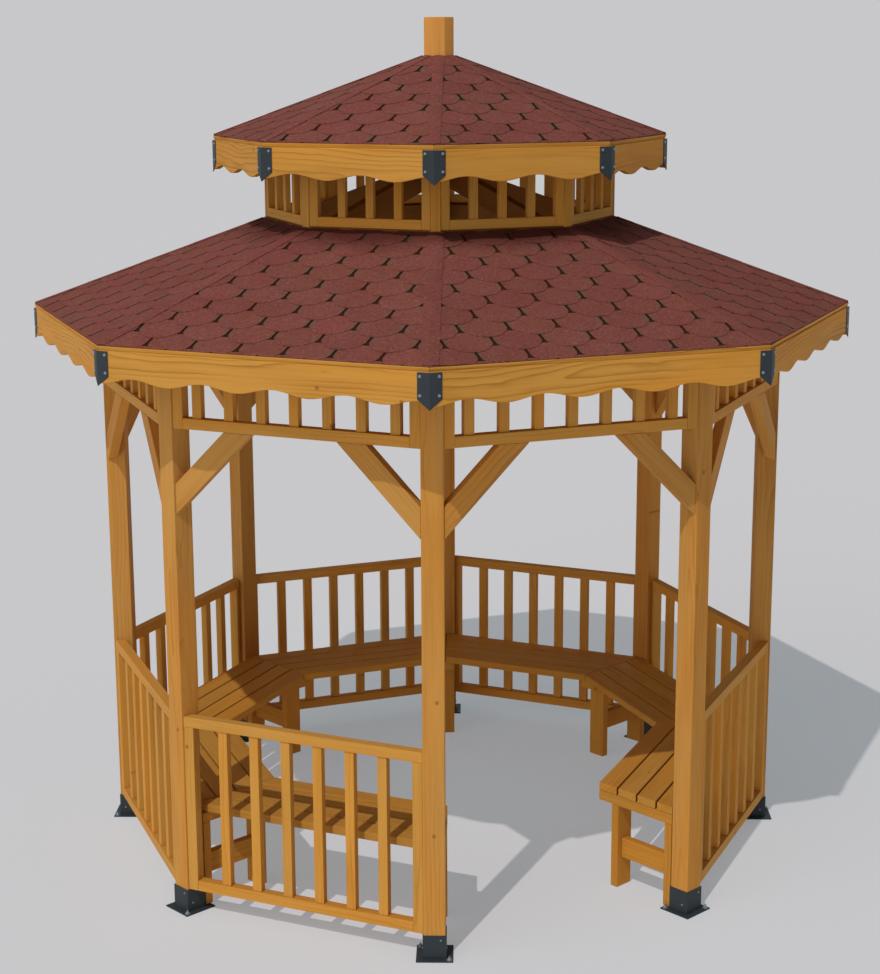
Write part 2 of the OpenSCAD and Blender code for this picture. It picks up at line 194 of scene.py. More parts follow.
def pick(piece, parts, test):
    """Selects the vertices or polygons that pass the test, in edit mode."""
    work_on(piece)
    mode("EDIT")
    bpy.ops.mesh.select_all(action="DESELECT")
    mode("OBJECT")
    for part in getattr(piece.data, parts):
        part.select = bool(test(part))
    mode("EDIT")


def saw(piece, planes, **settings):
    """Divides the piece along planes, given as a point and a direction."""
    work_on(piece)
    mode("EDIT")
    for point, direction in planes:
        bpy.ops.mesh.select_all(action="SELECT")
        bpy.ops.mesh.bisect(plane_co=point, plane_no=direction, **settings)
    mode("OBJECT")


def cut(piece, planes):
    """Saws the piece, takes off the waste that each direction points to, and
    closes the cut."""
    saw(piece, planes, use_fill=True, clear_outer=True)


def apply_step(piece, kind, **settings):
    """Adds a modifier with these settings and applies it."""
    work_on(piece)
    step = piece.modifiers.new("step", kind)
    for name, value in settings.items():
        setattr(step, name, value)
    bpy.ops.object.modifier_apply(modifier=step.name)


def carve(piece, cutter):
    """Takes the cutter's shape out of the piece with a Boolean modifier."""
    apply_step(piece, "BOOLEAN", operation="DIFFERENCE", object=cutter, solver="EXACT")
    bpy.data.objects.remove(cutter)


def soften(piece, width, segments=2, angle=25):
    """Rounds the arrises, and keeps the flat faces flat under smooth shading."""
    work_on(piece)
    bpy.ops.object.shade_smooth()
    apply_step(piece, "BEVEL", width=width, segments=segments, limit_method="ANGLE",
               angle_limit=math.radians(angle), harden_normals=True)


def points(piece):
    flat = np.empty(len(piece.data.vertices) * 3)
    piece.data.vertices.foreach_get("co", flat)
    return flat.reshape(-1, 3)


def note(piece, name, values):
    """Stores a number or a vector for each vertex."""
    kind, field = ("FLOAT_VECTOR", "vector") if values.ndim == 2 else ("FLOAT", "value")
    kept = piece.data.attributes.get(name) or piece.data.attributes.new(name, kind, "POINT")
    kept.data.foreach_set(field, np.ascontiguousarray(values, np.float32).ravel())


def recall(piece, name):
    values = np.empty(len(piece.data.vertices), np.float32)
    piece.data.attributes[name].data.foreach_get("value", values)
    return values


def note_grain(piece, grain):
    """Notes where each vertex lies in its own board, and draws the board's tree."""
    note(piece, "grain", grain)
    note(piece, "tree", np.full(len(piece.data.vertices), TREES.random()))


def board(low, high, planes=(), turn=(0, 0, 0), notches=(), arris=ARRIS):
    """One board: squared, sawn, notched, its arrises rounded, its grain noted."""
    piece = block(low, high, turn)
    if planes:
        cut(piece, planes)
    for notch in notches:
        carve(piece, block(*notch))
    if arris:
        soften(piece, arris)
    size = [h - l for l, h in zip(low, high)]
    longest_first = sorted(range(3), key=lambda k: -size[k])
    turned = Matrix.Identity(3)
    for axis, angle in zip("XYZ", turn):
        turned = Matrix.Rotation(angle, 3, axis) @ turned
    middle = (np.array(low) + np.array(high)) / 2
    own_axes = np.array([list(turned.col[k]) for k in longest_first])
    note_grain(piece, (points(piece) - middle) @ own_axes.T)
    return piece


def gather(pieces, name):
    """Joins boards into one piece of that name."""
    work_on(pieces[0])
    for other in pieces[1:]:
        other.select_set(True)
    if len(pieces) > 1:
        bpy.ops.object.join()
    pieces[0].name = pieces[0].data.name = name
    return pieces[0]


def copy_at(piece, place, name, mirrored=False):
    """A copy with its own mesh, moved by a matrix and cut from other trees."""
    mesh = piece.data.copy()
    mesh.transform(place)
    if mirrored:
        mesh.flip_normals()
    twin = bpy.data.objects.new(name, mesh)
    bpy.context.scene.collection.objects.link(twin)
    if "tree" in mesh.attributes:
        _, which = np.unique(recall(twin, "tree"), return_inverse=True)
        note(twin, "tree", TREES.random(which.max() + 1)[which])
    return twin


def turned_to(bay):
    return Matrix.Rotation(math.radians(STEP * (bay - 1)), 4, "Z")


def turned_to_post(post):
    return Matrix.Rotation(math.radians(STEP * (post - 1)) - HALF, 4, "Z")


def all_round(piece, name, place=turned_to):
    """The piece in all eight bays, or at all eight posts, as one piece."""
    copies = [copy_at(piece, place(i), f"{name}_{i}") for i in range(1, SIDES + 1)]
    bpy.data.objects.remove(piece)
    return gather(copies, name)


MIRROR = Matrix.Scale(-1, 4, (1, 0, 0))
print("helpers ready; trees start at", round(float(TREES.random()), 3))

# %% [markdown]
# ## Writing shaders as sums
# A material is a web of nodes. Drawing it with code is long-winded unless a
# wire can be added to, multiplied and compared like a number. This small class
# wraps one socket. Numbers go through Math nodes, vectors through Vector Math
# and colours through Mix, because a Math node would turn a colour grey.

# %% A wire that does sums
VECTOR, NUMBER = 1, 2


class Wire:
    """One output socket in a material, which takes part in expressions."""

    def __init__(self, tree, socket):
        self.tree, self.socket = tree, socket

    def node(self, kind, settings=None, sockets=None, out=0):
        """Any other node: its type, its settings, and its sockets' values or links."""
        made = self.tree.nodes.new("ShaderNode" + kind)
        for key, value in (settings or {}).items():
            if key == "stops":
                ramp = made.color_ramp
                while len(ramp.elements) < len(value):
                    ramp.elements.new(0.5)
                for element, (place, shade) in zip(ramp.elements, value):
                    element.position, element.color = place, shade
            else:
                setattr(made, key, value)
        for key, value in (sockets or {}).items():
            if isinstance(value, Wire):
                self.tree.links.new(value.socket, made.inputs[key])
            else:
                made.inputs[key].default_value = value
        return Wire(self.tree, made.outputs[out])

    def sum(self, operation, first, second):
        kinds = [w.socket.type for w in (first, second) if isinstance(w, Wire)]
        if "RGBA" in kinds:
            first, second = (
                (v, v, v, 1) if isinstance(v, (int, float)) else v for v in (first, second)
            )
            settings = {"data_type": "RGBA", "blend_type": operation}
            return self.node("Mix", settings, {0: 1.0, 6: first, 7: second}, 2)
        if "VECTOR" in kinds:
            first, second = (
                (v, v, v) if isinstance(v, (int, float)) else v for v in (first, second)
            )
            return self.node("VectorMath", {"operation": operation}, {0: first, 1: second})
        return self.node("Math", {"operation": operation}, {0: first, 1: second})

    def __add__(self, other):
        return self.sum("ADD", self, other)

    def __radd__(self, other):
        return self.sum("ADD", other, self)

    def __sub__(self, other):
        return self.sum("SUBTRACT", self, other)

    def __rsub__(self, other):
        return self.sum("SUBTRACT", other, self)

    def __mul__(self, other):
        return self.sum("MULTIPLY", self, other)

    def __rmul__(self, other):
        return self.sum("MULTIPLY", other, self)

    def __truediv__(self, other):
        return self.sum("DIVIDE", self, other)

    def __pow__(self, other):
        return self.sum("POWER", self, other)

    def function(self, operation, *others):
        """A Math node with one or two inputs, such as ABSOLUTE or MINIMUM."""
        values = {i: v for i, v in enumerate((self, *others))}
        return self.node("Math", {"operation": operation}, values)

    def fade(self, start, end):
        """0 before start, 1 after end, and smooth between them."""
        settings = {"interpolation_type": "SMOOTHSTEP"}
        return self.node("MapRange", settings, {0: self, 1: start, 2: end})

    def blend(self, first, second):
        """The first colour where this is 0, and the second where it is 1."""
        return self.node("Mix", {"data_type": "RGBA"}, {0: self, 6: first, 7: second}, 2)

    def axes(self):
        """The three numbers of this vector."""
        return [self.node("SeparateXYZ", {}, {0: self}, k) for k in range(3)]

    def recall(self, name, out):
        """What the mesh keeps under that name, as a VECTOR or a NUMBER."""
        return self.node("Attribute", {"attribute_name": name}, out=out)

    def noise(self, scale, detail=2.0, roughness=0.5):
        """Smooth noise from 0 to 1 on this vector."""
        sockets = {"Vector": self, "Scale": scale, "Detail": detail, "Roughness": roughness}
        return self.node("TexNoise", {}, sockets)


def colour(r, g, b):
    return (r, g, b, 1.0)


def new_material(name, gleam=None):
    """A material, its shader node, and a wire to start expressions from."""
    material = bpy.data.materials.new(name)
    material.use_nodes = True
    tree = material.node_tree
    shader = next(n for n in tree.nodes if n.type == "BSDF_PRINCIPLED")
    if gleam is not None:
        shader.inputs["Specular IOR Level"].default_value = gleam
    here = Wire(tree, tree.nodes.new("ShaderNodeTexCoord").outputs["Object"])
    return material, shader, here


def connect(shader, **wires):
    """Links expressions to the shader's sockets; spaces are written as _."""
    for name, wire in wires.items():
        wire.tree.links.new(wire.socket, shader.inputs[name.replace("_", " ")])


def bump(height, distance, strength=1.0):
    sockets = {"Strength": strength, "Distance": distance, "Height": height}
    return height.node("Bump", {}, sockets)


print("wires ready")

# %% [markdown]
# ## Stained pine
# The timber is pine under a honey-coloured stain. Pine shows dark latewood
# lines: long and straight near a board's edges, and arched where the saw
# passed close to a ring. Growth rings are cylinders round the tree's heart, so
# the distance from a slightly wandering heart line gives all of these, and the
# right curves on the end grain too. Small knots push the rings aside.

# %% The pine's material
RING_GAP, HEART_SPREAD, HEART_DEPTH, HEART_WANDER = 0.0165, 0.10, 0.040, 0.13
KNOT_SPACING, KNOT_CORE, KNOT_EDGE = 1.7, 0.008, 0.020
KNOT_COLOUR = colour(0.20, 0.075, 0.015)
REDDER, YELLOWER = (1.03, 0.97, 0.85, 1.0), (0.98, 1.03, 1.15, 1.0)


def pine(name, light, dark, lines, gloss=0.56):
    """Stained pine in a light and a dark linear colour, with more or less
    visible growth lines."""
    material, shader, here = new_material(name, gleam=0.06)
    own, tree = here.recall("grain", VECTOR), here.recall("tree", NUMBER)
    length, width, depth = own.axes()
    place = own + here.node("CombineXYZ", {}, {0: tree * 41.0, 1: tree * 17.0, 2: tree * 7.0})
    bend = (place * (1.0, 2.5, 2.5)).noise(1.0, 1.0) - 0.5
    ripple = (place * (4.5, 16.0, 16.0)).noise(1.0, 2.0) - 0.5
    fibre = (place * (4.0, 170.0, 170.0)).noise(1.0, 2.0, 0.6)
    mottle = (place * (1.6, 8.0, 8.0)).noise(1.0, 2.0)
    streak = (place * (2.4, 42.0, 42.0)).noise(1.0, 2.0, 0.55)
    bold = (place * (1.0, 9.0, 9.0) + (3.1, 5.7, 1.9)).noise(1.0, 1.0).fade(0.38, 0.62)
    warm = (place * (0.9, 5.0, 5.0) + (9.3, 2.1, 4.7)).noise(1.0, 1.0).fade(0.38, 0.62)

    across = width + ((tree * 7.0).function("FRACT") - 0.5) * HEART_SPREAD + bend * HEART_WANDER
    down = depth + 0.012 + (tree * 9.0).function("FRACT") * HEART_DEPTH + bend * 0.05
    from_heart = (across * across + down * down).function("SQRT")
    phase = (from_heart / RING_GAP + ripple * 1.2).function("FRACT")
    latewood = phase ** 4.0 * (1.0 - phase.fade(0.90, 1.0))
    knot_place = here.node("CombineXYZ", {}, {0: length + tree * 13.0, 1: width + tree * 5.0})
    sockets = {"Vector": knot_place, "Scale": KNOT_SPACING}
    knot_gap = here.node("TexVoronoi", {"voronoi_dimensions": "2D"}, sockets)
    knot = (1.0 - knot_gap.fade(KNOT_CORE, KNOT_EDGE)) * 0.6

    darkness = latewood * (bold * lines + lines * 0.12) + (streak - 0.40) * 0.55
    darkness = darkness + (fibre - 0.5) * 0.35 + (mottle - 0.5) * 0.7
    darkness = darkness.function("MAXIMUM", 0.0).function("MINIMUM", 1.0)
    stain = darkness.blend(colour(*light), colour(*dark))
    stain = warm.blend(stain * YELLOWER, stain * REDDER)
    stain = knot.blend(stain, KNOT_COLOUR)
    stain = stain * (0.94 + (tree * 23.0).function("FRACT") * 0.10)
    connect(
        shader,
        Base_Color=stain,
        Roughness=gloss + latewood * 0.10 + fibre * 0.10,
        Normal=bump(fibre * 0.6 - latewood * 0.5, 0.0007, 0.5),
    )
    return material


post_pine = pine("post pine", (0.560, 0.265, 0.057), (0.310, 0.115, 0.018), 0.50)
panel_pine = pine("panel pine", (0.610, 0.292, 0.054), (0.340, 0.126, 0.015), 0.45)
bench_pine = pine("bench pine", (0.520, 0.240, 0.038), (0.310, 0.116, 0.012), 0.50, 0.52)
# Painted shade: the roof timbers, the curb and the lantern's packing take this darker copy of the
# pine, in place of the shade under the roofs.
shade_darkened_pine = pine("shade-darkened roof pine", (0.225, 0.088, 0.019), (0.130, 0.045, 0.008), 0.50, 0.60)
fascia_pine = pine("fascia pine", (0.615, 0.284, 0.048), (0.310, 0.116, 0.012), 0.85)
king_pine = pine("king post pine", (0.760, 0.340, 0.072), (0.460, 0.175, 0.024), 0.40)
pines = (post_pine, panel_pine, bench_pine, shade_darkened_pine, fascia_pine, king_pine)
print("pine finishes:", [m.name for m in pines])

# %% [markdown]
# ## Handing a piece over
# Each finished piece gets its material, rides on the gazebo's only body, hides
# the construction nodes that it stands for, and names the material slot that it
# takes its finish from.

# %% A helper that finishes a piece
handed_over = {}


def hand_over(piece, slot, finish, *nodes):
    piece.data.materials.clear()
    piece.data.materials.append(finish)
    for layer in list(piece.data.uv_layers):
        piece.data.uv_layers.remove(layer)
    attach(piece, "root")
    if nodes:
        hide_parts(*nodes)
    handed_over[piece.name] = slot
    print(f"{piece.name}: {len(piece.data.polygons)} faces")


def hand_over_ring(piece, name, slot, finish, *nodes, place=turned_to):
    """The piece in all eight bays, or at all eight corners, as one piece."""
    hand_over(all_round(piece, name, place), slot, finish, *nodes)


def hand_over_copies(pattern, places, name, slot, finish, node):
    """One copy of the pattern in each place, numbered like its node."""
    for i, place in enumerate(places, 1):
        hand_over(copy_at(pattern, place, f"{name}_{i}"), slot, finish, f"{node}_{i}")
    bpy.data.objects.remove(pattern)


print("ready to hand over on body root")

# %% [markdown]
# ## Posts
# Eight square posts stand on the corners. One is planed and sawn, and the
# others are copies from other trees. The tops are hidden under the hips.

# %% Make the eight posts
POST_ARRIS = 0.004
one_post = board(*square(POST_W, post_base, post_top), arris=POST_ARRIS)
corners = [turned_to_post(i) for i in range(1, SIDES + 1)]
hand_over_copies(one_post, corners, "timber_post", "post_wood", post_pine, "post")

# %% [markdown]
# ## Panels with balusters
# A panel is a frame with upright balusters between its rails. The top rail runs
# over both stiles and the bottom rail fits between them. It could be one plate
# with holes, but then the grain would run through the corners. The ends are
# bevelled to lie flat against the posts, which stand turned by half a bay.

# %% The panel, as one kit of boards


def end_plane(a_in, a_out, width, side):
    """The plane in which a panel meets its post on the left or the right."""
    half = half_between(a_out, width) - FIT
    return (side * half, -a_out, 0), (side * COS, SIN, 0)


def baluster_panel(name, side_w, a_in, thick, z0, z1, w, count, pitch, bar_w, bar_t, arris):
    """A frame and its balusters in the bay that faces -Y."""
    a_out = a_in + thick
    half = half_between(a_out, side_w) - FIT
    ends = {s: end_plane(a_in, a_out, side_w, s) for s in (-1, 1)}
    inner = half - w
    bar_low, bar_high = z0 + w + FIT, z1 - w - FIT
    boards = [
        board((-half, -a_out, z1 - w), (half, -a_in, z1), list(ends.values()), arris=arris),
        board((FIT - inner, -a_out, z0), (inner - FIT, -a_in, z0 + w), arris=arris),
    ]
    for s in (-1, 1):
        x_low, x_high = sorted((s * half, s * inner))
        low, high = (x_low, -a_out, z0), (x_high, -a_in, bar_high)
        boards.append(board(low, high, [ends[s]], arris=arris))
    middle = a_in + thick / 2
    for i in range(count):
        x = (i - (count - 1) / 2) * pitch
        low = (x - bar_w / 2, -middle - bar_t / 2, bar_low)
        high = (x + bar_w / 2, -middle + bar_t / 2, bar_high)
        boards.append(board(low, high, arris=arris))
    return gather(boards, name)


# %% [markdown]
# ## Railings and friezes
# Seven bays have a railing, and all eight have a frieze under the roof. Both
# use the same baluster spacing, so the bars line up above one another.

# %% Make the railings and the friezes
FRAME_W = FRAME_T = 0.045
BAR_W, BAR_T, RAIL_BARS, BAR_INSET = 0.042, 0.032, 6, 0.035
bar_pitch = 2 * (half_between(panel_out, POST_W) - BAR_INSET) / (RAIL_BARS + 1)
bars = (BAR_W, BAR_T, THIN_ARRIS)
bays = [turned_to(i) for i in range(1, SIDES + 1)]

railing = baluster_panel("railing", POST_W, panel_in, FRAME_T, rail_low.z, rail_high.z,
                         FRAME_W, RAIL_BARS, bar_pitch, *bars)
hand_over_copies(railing, bays[1:], "railing", "panel_wood", panel_pine, "rail_panel")
frieze = baluster_panel("frieze", POST_W, panel_in, FRAME_T, frieze_low.z, frieze_high.z,
                        FRAME_W, RAIL_BARS + 1, bar_pitch, *bars)
hand_over_copies(frieze, bays, "frieze", "panel_wood", panel_pine, "frieze_panel")
print(f"baluster pitch {bar_pitch * 1000:.0f} mm")

# %% [markdown]
# ## Knee braces
# A brace runs at 45 degrees from each side of a post to the frieze. It is a
# straight board, sawn flush with the post and the frieze's underside.

# %% Make the sixteen braces
BRACE_W, BRACE_LEG, BRACE_REACH = 0.090, 0.358, 0.7
brace_corner = half_between(panel_out, POST_W) - FIT
brace_top = frieze_low.z - FIT
brace_mid = BRACE_LEG / 2 - BRACE_W / math.sqrt(2) / 2
brace_x, brace_z = brace_corner - brace_mid, brace_top - brace_mid
brace = board(
    (brace_x - BRACE_REACH / 2, -panel_out, brace_z - BRACE_W / 2),
    (brace_x + BRACE_REACH / 2, -panel_in, brace_z + BRACE_W / 2),
    [((0, 0, brace_top), (0, 0, 1)), end_plane(panel_in, panel_out, POST_W, 1)],
    turn=(0, math.radians(45), 0),
)
other_brace = copy_at(brace, MIRROR, "other_brace", mirrored=True)
pair = gather([brace, other_brace], "brace_pair")
hand_over_ring(pair, "knee_brace_boards", "panel_wood", post_pine, "knee_braces")
print("braces reach", round(BRACE_LEG * 1000), "mm along post and frieze")

# %% [markdown]
# ## The bench
# The seat is four slats in each of seven bays, mitred where two bays meet and
# notched round the posts. Where the bench ends at the entrance, the slats run
# on over their bearer. A Boolean makes the notch, because it is an inside
# corner that a single saw cut can't make.

# %% Make the seat slats
SLAT_W, SLAT_T, SLAT_GAP, SLATS = 0.0925, 0.036, 0.008, 4
SEAT_REAR, MITRE_GAP, NOTCH_GAP, BEARER_W = 0.046, 0.002, 0.003, 0.090
SLAT_REACH, SLAT_ARRIS = 0.75, 0.0045
seat_out = CHORD - SEAT_REAR
seat_in = seat_out - SLATS * SLAT_W - (SLATS - 1) * SLAT_GAP
notch_w = POST_W + 2 * NOTCH_GAP


def seat(left_free, right_free):
    """Four slats of one bay; a free end runs on over its bearer."""
    boards = []
    for i in range(SLATS):
        a = seat_in + i * (SLAT_W + SLAT_GAP)
        planes, notches = [], []
        for s, free in ((-1, left_free), (1, right_free)):
            shift = BEARER_W / 2 / COS if free else -MITRE_GAP / 2 / COS
            planes.append(((s * shift, 0, 0), (s * COS, SIN, 0)))
            if i == SLATS - 1:
                x, y = s * POST_CIRCLE * SIN, -POST_CIRCLE * COS
                low = (x - notch_w / 2, y - notch_w / 2, seat_top - 2 * SLAT_T)
                high = (x + notch_w / 2, y + notch_w / 2, seat_top + SLAT_T)
                notches.append((low, high, (0, 0, s * HALF)))
        boards.append(board(
            (-SLAT_REACH, -a - SLAT_W, seat_top - SLAT_T), (SLAT_REACH, -a, seat_top),
            planes, notches=notches, arris=SLAT_ARRIS,
        ))
    return gather(boards, "slats")


for i in range(1, SIDES):
    slats = seat(i == 1, i == SIDES - 1)
    made = copy_at(slats, turned_to(i + 1), f"seat_slats_{i}")
    bpy.data.objects.remove(slats)
    hand_over(made, "bench_wood", bench_pine, f"bench_seat_{i}")
print(f"seat {1000 * (seat_out - seat_in):.0f} mm deep at {seat_top:.3f} m")

# %% [markdown]
# ## Bench trestles
# Each corner has a trestle: a bearer, a rear leg on the post's base plate, a
# front leg on the floor and a rail between them.

# %% Make the eight trestles
BEARER_H, LEG_T, LEG_SPAN, LEG_RAIL_W, LEG_RAIL_LOW = 0.044, 0.038, 0.259, 0.090, 0.135
SHOE_WALL = 0.003
bearer_top = seat_top - SLAT_T - FIT
leg_top = bearer_top - BEARER_H - FIT
rear_out = POST_CIRCLE - POST_W / 2 - 2 * FIT - SHOE_WALL
rear_in = rear_out - LEG_T
front_out = rear_in - LEG_SPAN
bearer_in = (seat_in + BEARER_W / 2 * SIN) / COS


def at_post_board(width, r_in, r_out, z0, z1, arris=ARRIS):
    """A squared board across the post's radius, between two distances."""
    return board((-width / 2, -r_out, z0), (width / 2, -r_in, z1), arris=arris)


trestle = gather([
    at_post_board(BEARER_W, bearer_in, rear_out, bearer_top - BEARER_H, bearer_top),
    at_post_board(BEARER_W, rear_in, rear_out, post_base, leg_top),
    at_post_board(BEARER_W, front_out - LEG_T, front_out, 0.0, leg_top),
    at_post_board(LEG_T, front_out + FIT, rear_in - FIT, LEG_RAIL_LOW, LEG_RAIL_LOW + LEG_RAIL_W),
], "trestle")
hand_over_ring(trestle, "bench_trestles", "bench_wood", bench_pine, "bench_frames",
               place=turned_to_post)

# %% [markdown]
# ## Roof timbers
# Hip rafters run down over the posts, with a seat cut where each one rests.
# Between them a wall plate closes the top of each frieze, bevelled to the
# roof's pitch. A ring of curb boards carries the lantern.

# %% Sizes of both roofs
HIP_W, HIP_H, UPPER_HIP_W, UPPER_HIP_H = 0.045, 0.100, 0.038, 0.080
FASCIA_T, DECK_T, CURB_T, CURB_EDGE = 0.025, 0.016, 0.050, 0.002
LANTERN_CIRCLE, LANTERN_POST_W = 0.763, 0.042
LANTERN_FRAME_W, LANTERN_FRAME_T, LANTERN_SETBACK = 0.040, 0.030, 0.004
KING_W = 0.130
lower_edge, upper_edge = (eave_a, eave_z), (upper_a, upper_eave_z)
deck_up = DECK_T / math.cos(PITCH)
lantern_corner_r = LANTERN_CIRCLE + LANTERN_POST_W / 2
lantern_corner_a = lantern_corner_r * COS + LANTERN_POST_W / 2 * SIN
curb_out = lantern_corner_a + CURB_EDGE
lantern_out = lantern_corner_a - LANTERN_SETBACK
lantern_in = lantern_out - LANTERN_FRAME_T
lantern_low, lantern_top = (corner.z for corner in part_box("lantern_posts"))
curb_top = lantern_low - FIT
hip_slope = math.atan(RISE * COS)


def roof_z(a, edge):
    """Height of the boarding's underside at distance a from the middle; the edge
    is the eave's distance and height."""
    return edge[1] + (edge[0] - a) * RISE


def hip_z(r, width, edge):
    return roof_z(r * COS + width / 2 * SIN, edge) - FIT


print(f"curb {curb_out:.3f} from the middle, lantern {lantern_low:.3f} to {lantern_top:.3f}")

# %% [markdown]
# ## Rafters, plates and the curb
# A rafter is a straight board turned to the hip's slope. Its ends are sawn
# upright and its seat is cut with a Boolean. Inside the curb the lower hips
# carry on, without boarding, to an eight-sided block in the middle.

# %% Make the rafters, the wall plates and the curb
HUB_W, FOOT_CHAMFER, HEART_OFFSET = 0.130, 0.012, 0.03
SAWING_SPARE, FACING = 0.01, 0.9


def hip_rafter(r_in, r_out, width, height, edge, seat=None):
    """A sloping rafter with upright ends; the seat is the post's distance,
    its width and the height of its top."""
    r_mid = (r_in + r_out) / 2
    deep = height * math.cos(hip_slope)
    top = hip_z(r_mid, width, edge)
    long = (r_out - r_in) / 2 / math.cos(hip_slope) + height
    middle = top - height / 2
    notches = []
    if seat:
        post_r, post_side, seat_z = seat
        side, head = post_side / 2 + FIT, seat_z + FIT
        notches.append(((-side, -post_r - side, head - height), (side, -post_r + side, head)))
    return board(
        (-width / 2, -r_mid - long, middle - deep / 2),
        (width / 2, -r_mid + long, middle + deep / 2),
        [((0, -r_out, 0), (0, -1, 0)), ((0, -r_in, 0), (0, 1, 0))],
        turn=(hip_slope, 0, 0),
        notches=notches,
    )


def eight_sided(width, z0, z1, name):
    """An eight-sided block with its flats towards the posts, its foot chamfered
    and its grain upright."""
    piece = cylinder(SIDES, width / COS, z1 - z0, (0, 0, (z0 + z1) / 2))
    pick(piece, "polygons", lambda face: face.normal.z < -FACING)
    bpy.ops.mesh.bevel(offset=FOOT_CHAMFER, segments=1, affect="EDGES")
    soften(piece, ARRIS, 2, 30)
    note_grain(piece, points(piece)[:, [2, 0, 1]] - (z0, 0, HEART_OFFSET))
    piece.name = piece.data.name = name
    return piece


def wall_plate(a_in, a_out, half, z0, edge):
    """A plate on the frieze, its top bevelled to the roof's pitch."""
    top = roof_z(a_in, edge) - FIT
    return board(
        (-half, -a_out, z0), (half, -a_in, top + SAWING_SPARE),
        [((0, -a_in, top), slope_normal)], arris=THIN_ARRIS,
    )


def ring_board(a_in, a_out, z0, z1):
    """A board of an eight-sided ring, mitred at both ends."""
    half = a_out * TAN
    return board((-half, -a_out, z0), (half, -a_in, z1), mitres(FIT / 2 / COS))


# The roof timbers take the darker pine, as painted shade under the roof.
LOWER_ROOF = ("roof_timber", shade_darkened_pine, "lower_roof_frame")
UPPER_ROOF = ("roof_timber", shade_darkened_pine, "upper_roof_frame")
hip, upper_hip = (HIP_W, HIP_H, lower_edge), (UPPER_HIP_W, UPPER_HIP_H, upper_edge)
head_r = (curb_out + FIT) / COS
tail_r = (eave_a - FASCIA_T - FIT - HIP_W / 2 * SIN) / COS
rafter = hip_rafter(head_r, tail_r, *hip, (POST_CIRCLE, POST_W, post_top))
hand_over_ring(rafter, "lower_hip_rafters", *LOWER_ROOF, place=turned_to_post)

hub_r = HUB_W / 2 + FIT
inner_r = (curb_out - CURB_T - FIT - HIP_W / 2 * SIN) / COS
hub_top = hip_z(hub_r, HIP_W, lower_edge)
inner_rafters = gather([
    all_round(hip_rafter(hub_r, inner_r, *hip), "inner", turned_to_post),
    eight_sided(HUB_W, hub_top - HIP_H, hub_top, "hub"),
], "inner_rafters_and_hub")
hand_over(inner_rafters, *LOWER_ROOF)

plate_half = half_between(panel_in, HIP_W) - FIT
curb_foot = hip_z(head_r, HIP_W, lower_edge) - HIP_H
bay_timbers = gather([
    wall_plate(panel_in, panel_out, plate_half, post_top + FIT, lower_edge),
    ring_board(curb_out - CURB_T, curb_out, curb_foot, curb_top),
], "bay_timbers")
hand_over_ring(bay_timbers, "lower_plates_and_curb", *LOWER_ROOF)

upper_head_r = KING_W / 2 + FIT
upper_tail_r = (upper_a - FASCIA_T - FIT - UPPER_HIP_W / 2 * SIN) / COS
upper_seat = (LANTERN_CIRCLE, LANTERN_POST_W, lantern_top)
upper_rafter = hip_rafter(upper_head_r, upper_tail_r, *upper_hip, upper_seat)
hand_over_ring(upper_rafter, "upper_hip_rafters", *UPPER_ROOF, place=turned_to_post)
plate_half = half_between(lantern_in, UPPER_HIP_W) - FIT
upper_plate = wall_plate(lantern_in, lantern_out, plate_half, lantern_top + FIT, upper_edge)
hand_over_ring(upper_plate, "upper_plates", *UPPER_ROOF)

# %% [markdown]
# ## Roof boarding
# From inside, the roof shows boards that run level round the octagon, each
# course sawn to the hips. Whole boards are laid first and the two hip cuts are
# made after, which is the order a roofer works in.

# %% Lay the boarding
BOARD_PITCH = 0.096
DECK_SETBACK = 0.006


def boarding(a_in, a_out, edge):
    """Courses of boards on one roof face, from the eave to a_in."""
    slope_length = (a_out - a_in) / math.cos(PITCH)
    courses = round(slope_length / BOARD_PITCH)
    pitch = slope_length / courses
    boards = []
    for i in range(courses):
        a = a_out - (i + 0.5) * pitch * math.cos(PITCH)
        middle = Vector((0, -a, roof_z(a, edge))) + slope_normal * DECK_T / 2
        half = Vector(((a + pitch) * TAN, (pitch - FIT) / 2, DECK_T / 2))
        boards.append(board(middle - half, middle + half, mitres(FIT / COS),
                            turn=(PITCH, 0, 0), arris=THIN_ARRIS))
    return gather(boards, "courses")


roofs = (("lower", curb_out + FIT, lower_edge), ("upper", upper_head_r, upper_edge))
for level, a_in, edge in roofs:
    courses = boarding(a_in, edge[0] - DECK_SETBACK, edge)
    hand_over_ring(courses, f"{level}_boarding", "roof_timber", fascia_pine,
                   f"{level}_roof_boards")

# %% [markdown]
# ## Fascia boards with a wavy edge
# The fascia's lower edge is sawn in long waves. The board is divided into short
# lengths, and the lower corners of each one are moved up by the wave. That
# keeps the edge a true shape that casts its own scalloped shadow.

# %% Saw the waves
FASCIA_H, WAVE_H, WAVE_LENGTH, WAVE_SHIFT = 0.130, 0.024, 0.308, 0.060
WAVE_PARTS, FASCIA_ARRIS, SAME_PLACE = 60, 0.0025, 1e-4


def wave_board(a_out, top):
    """One mitred fascia board in the bay that faces -Y."""
    half = a_out * TAN
    parts = WAVE_PARTS if a_out > POST_CIRCLE else WAVE_PARTS // 2
    inner_top = top + FASCIA_T * RISE
    piece = block((-half, -a_out, top - FASCIA_H), (half, -a_out + FASCIA_T, inner_top))
    cut(piece, [((0, -a_out, top), slope_normal)])
    stations = [-half + 2 * half * i / parts for i in range(parts + 1)]
    saw(piece, [((x, 0, 0), (1, 0, 0)) for x in stations[1:-1]])
    for x in stations:
        lift = WAVE_H * (1 + math.cos(2 * math.pi * (x - WAVE_SHIFT) / WAVE_LENGTH)) / 2
        pick(piece, "vertices",
             lambda v: abs(v.co.x - x) < SAME_PLACE and v.co.z < top - FASCIA_H / 2)
        bpy.ops.transform.translate(value=(0, 0, lift))
    cut(piece, mitres(FIT / 2 / COS))
    soften(piece, FASCIA_ARRIS, 2, 40)
    middle = np.array([0, -a_out, top - FASCIA_H / 2])
    note_grain(piece, (points(piece) - middle)[:, [0, 2, 1]])
    return piece


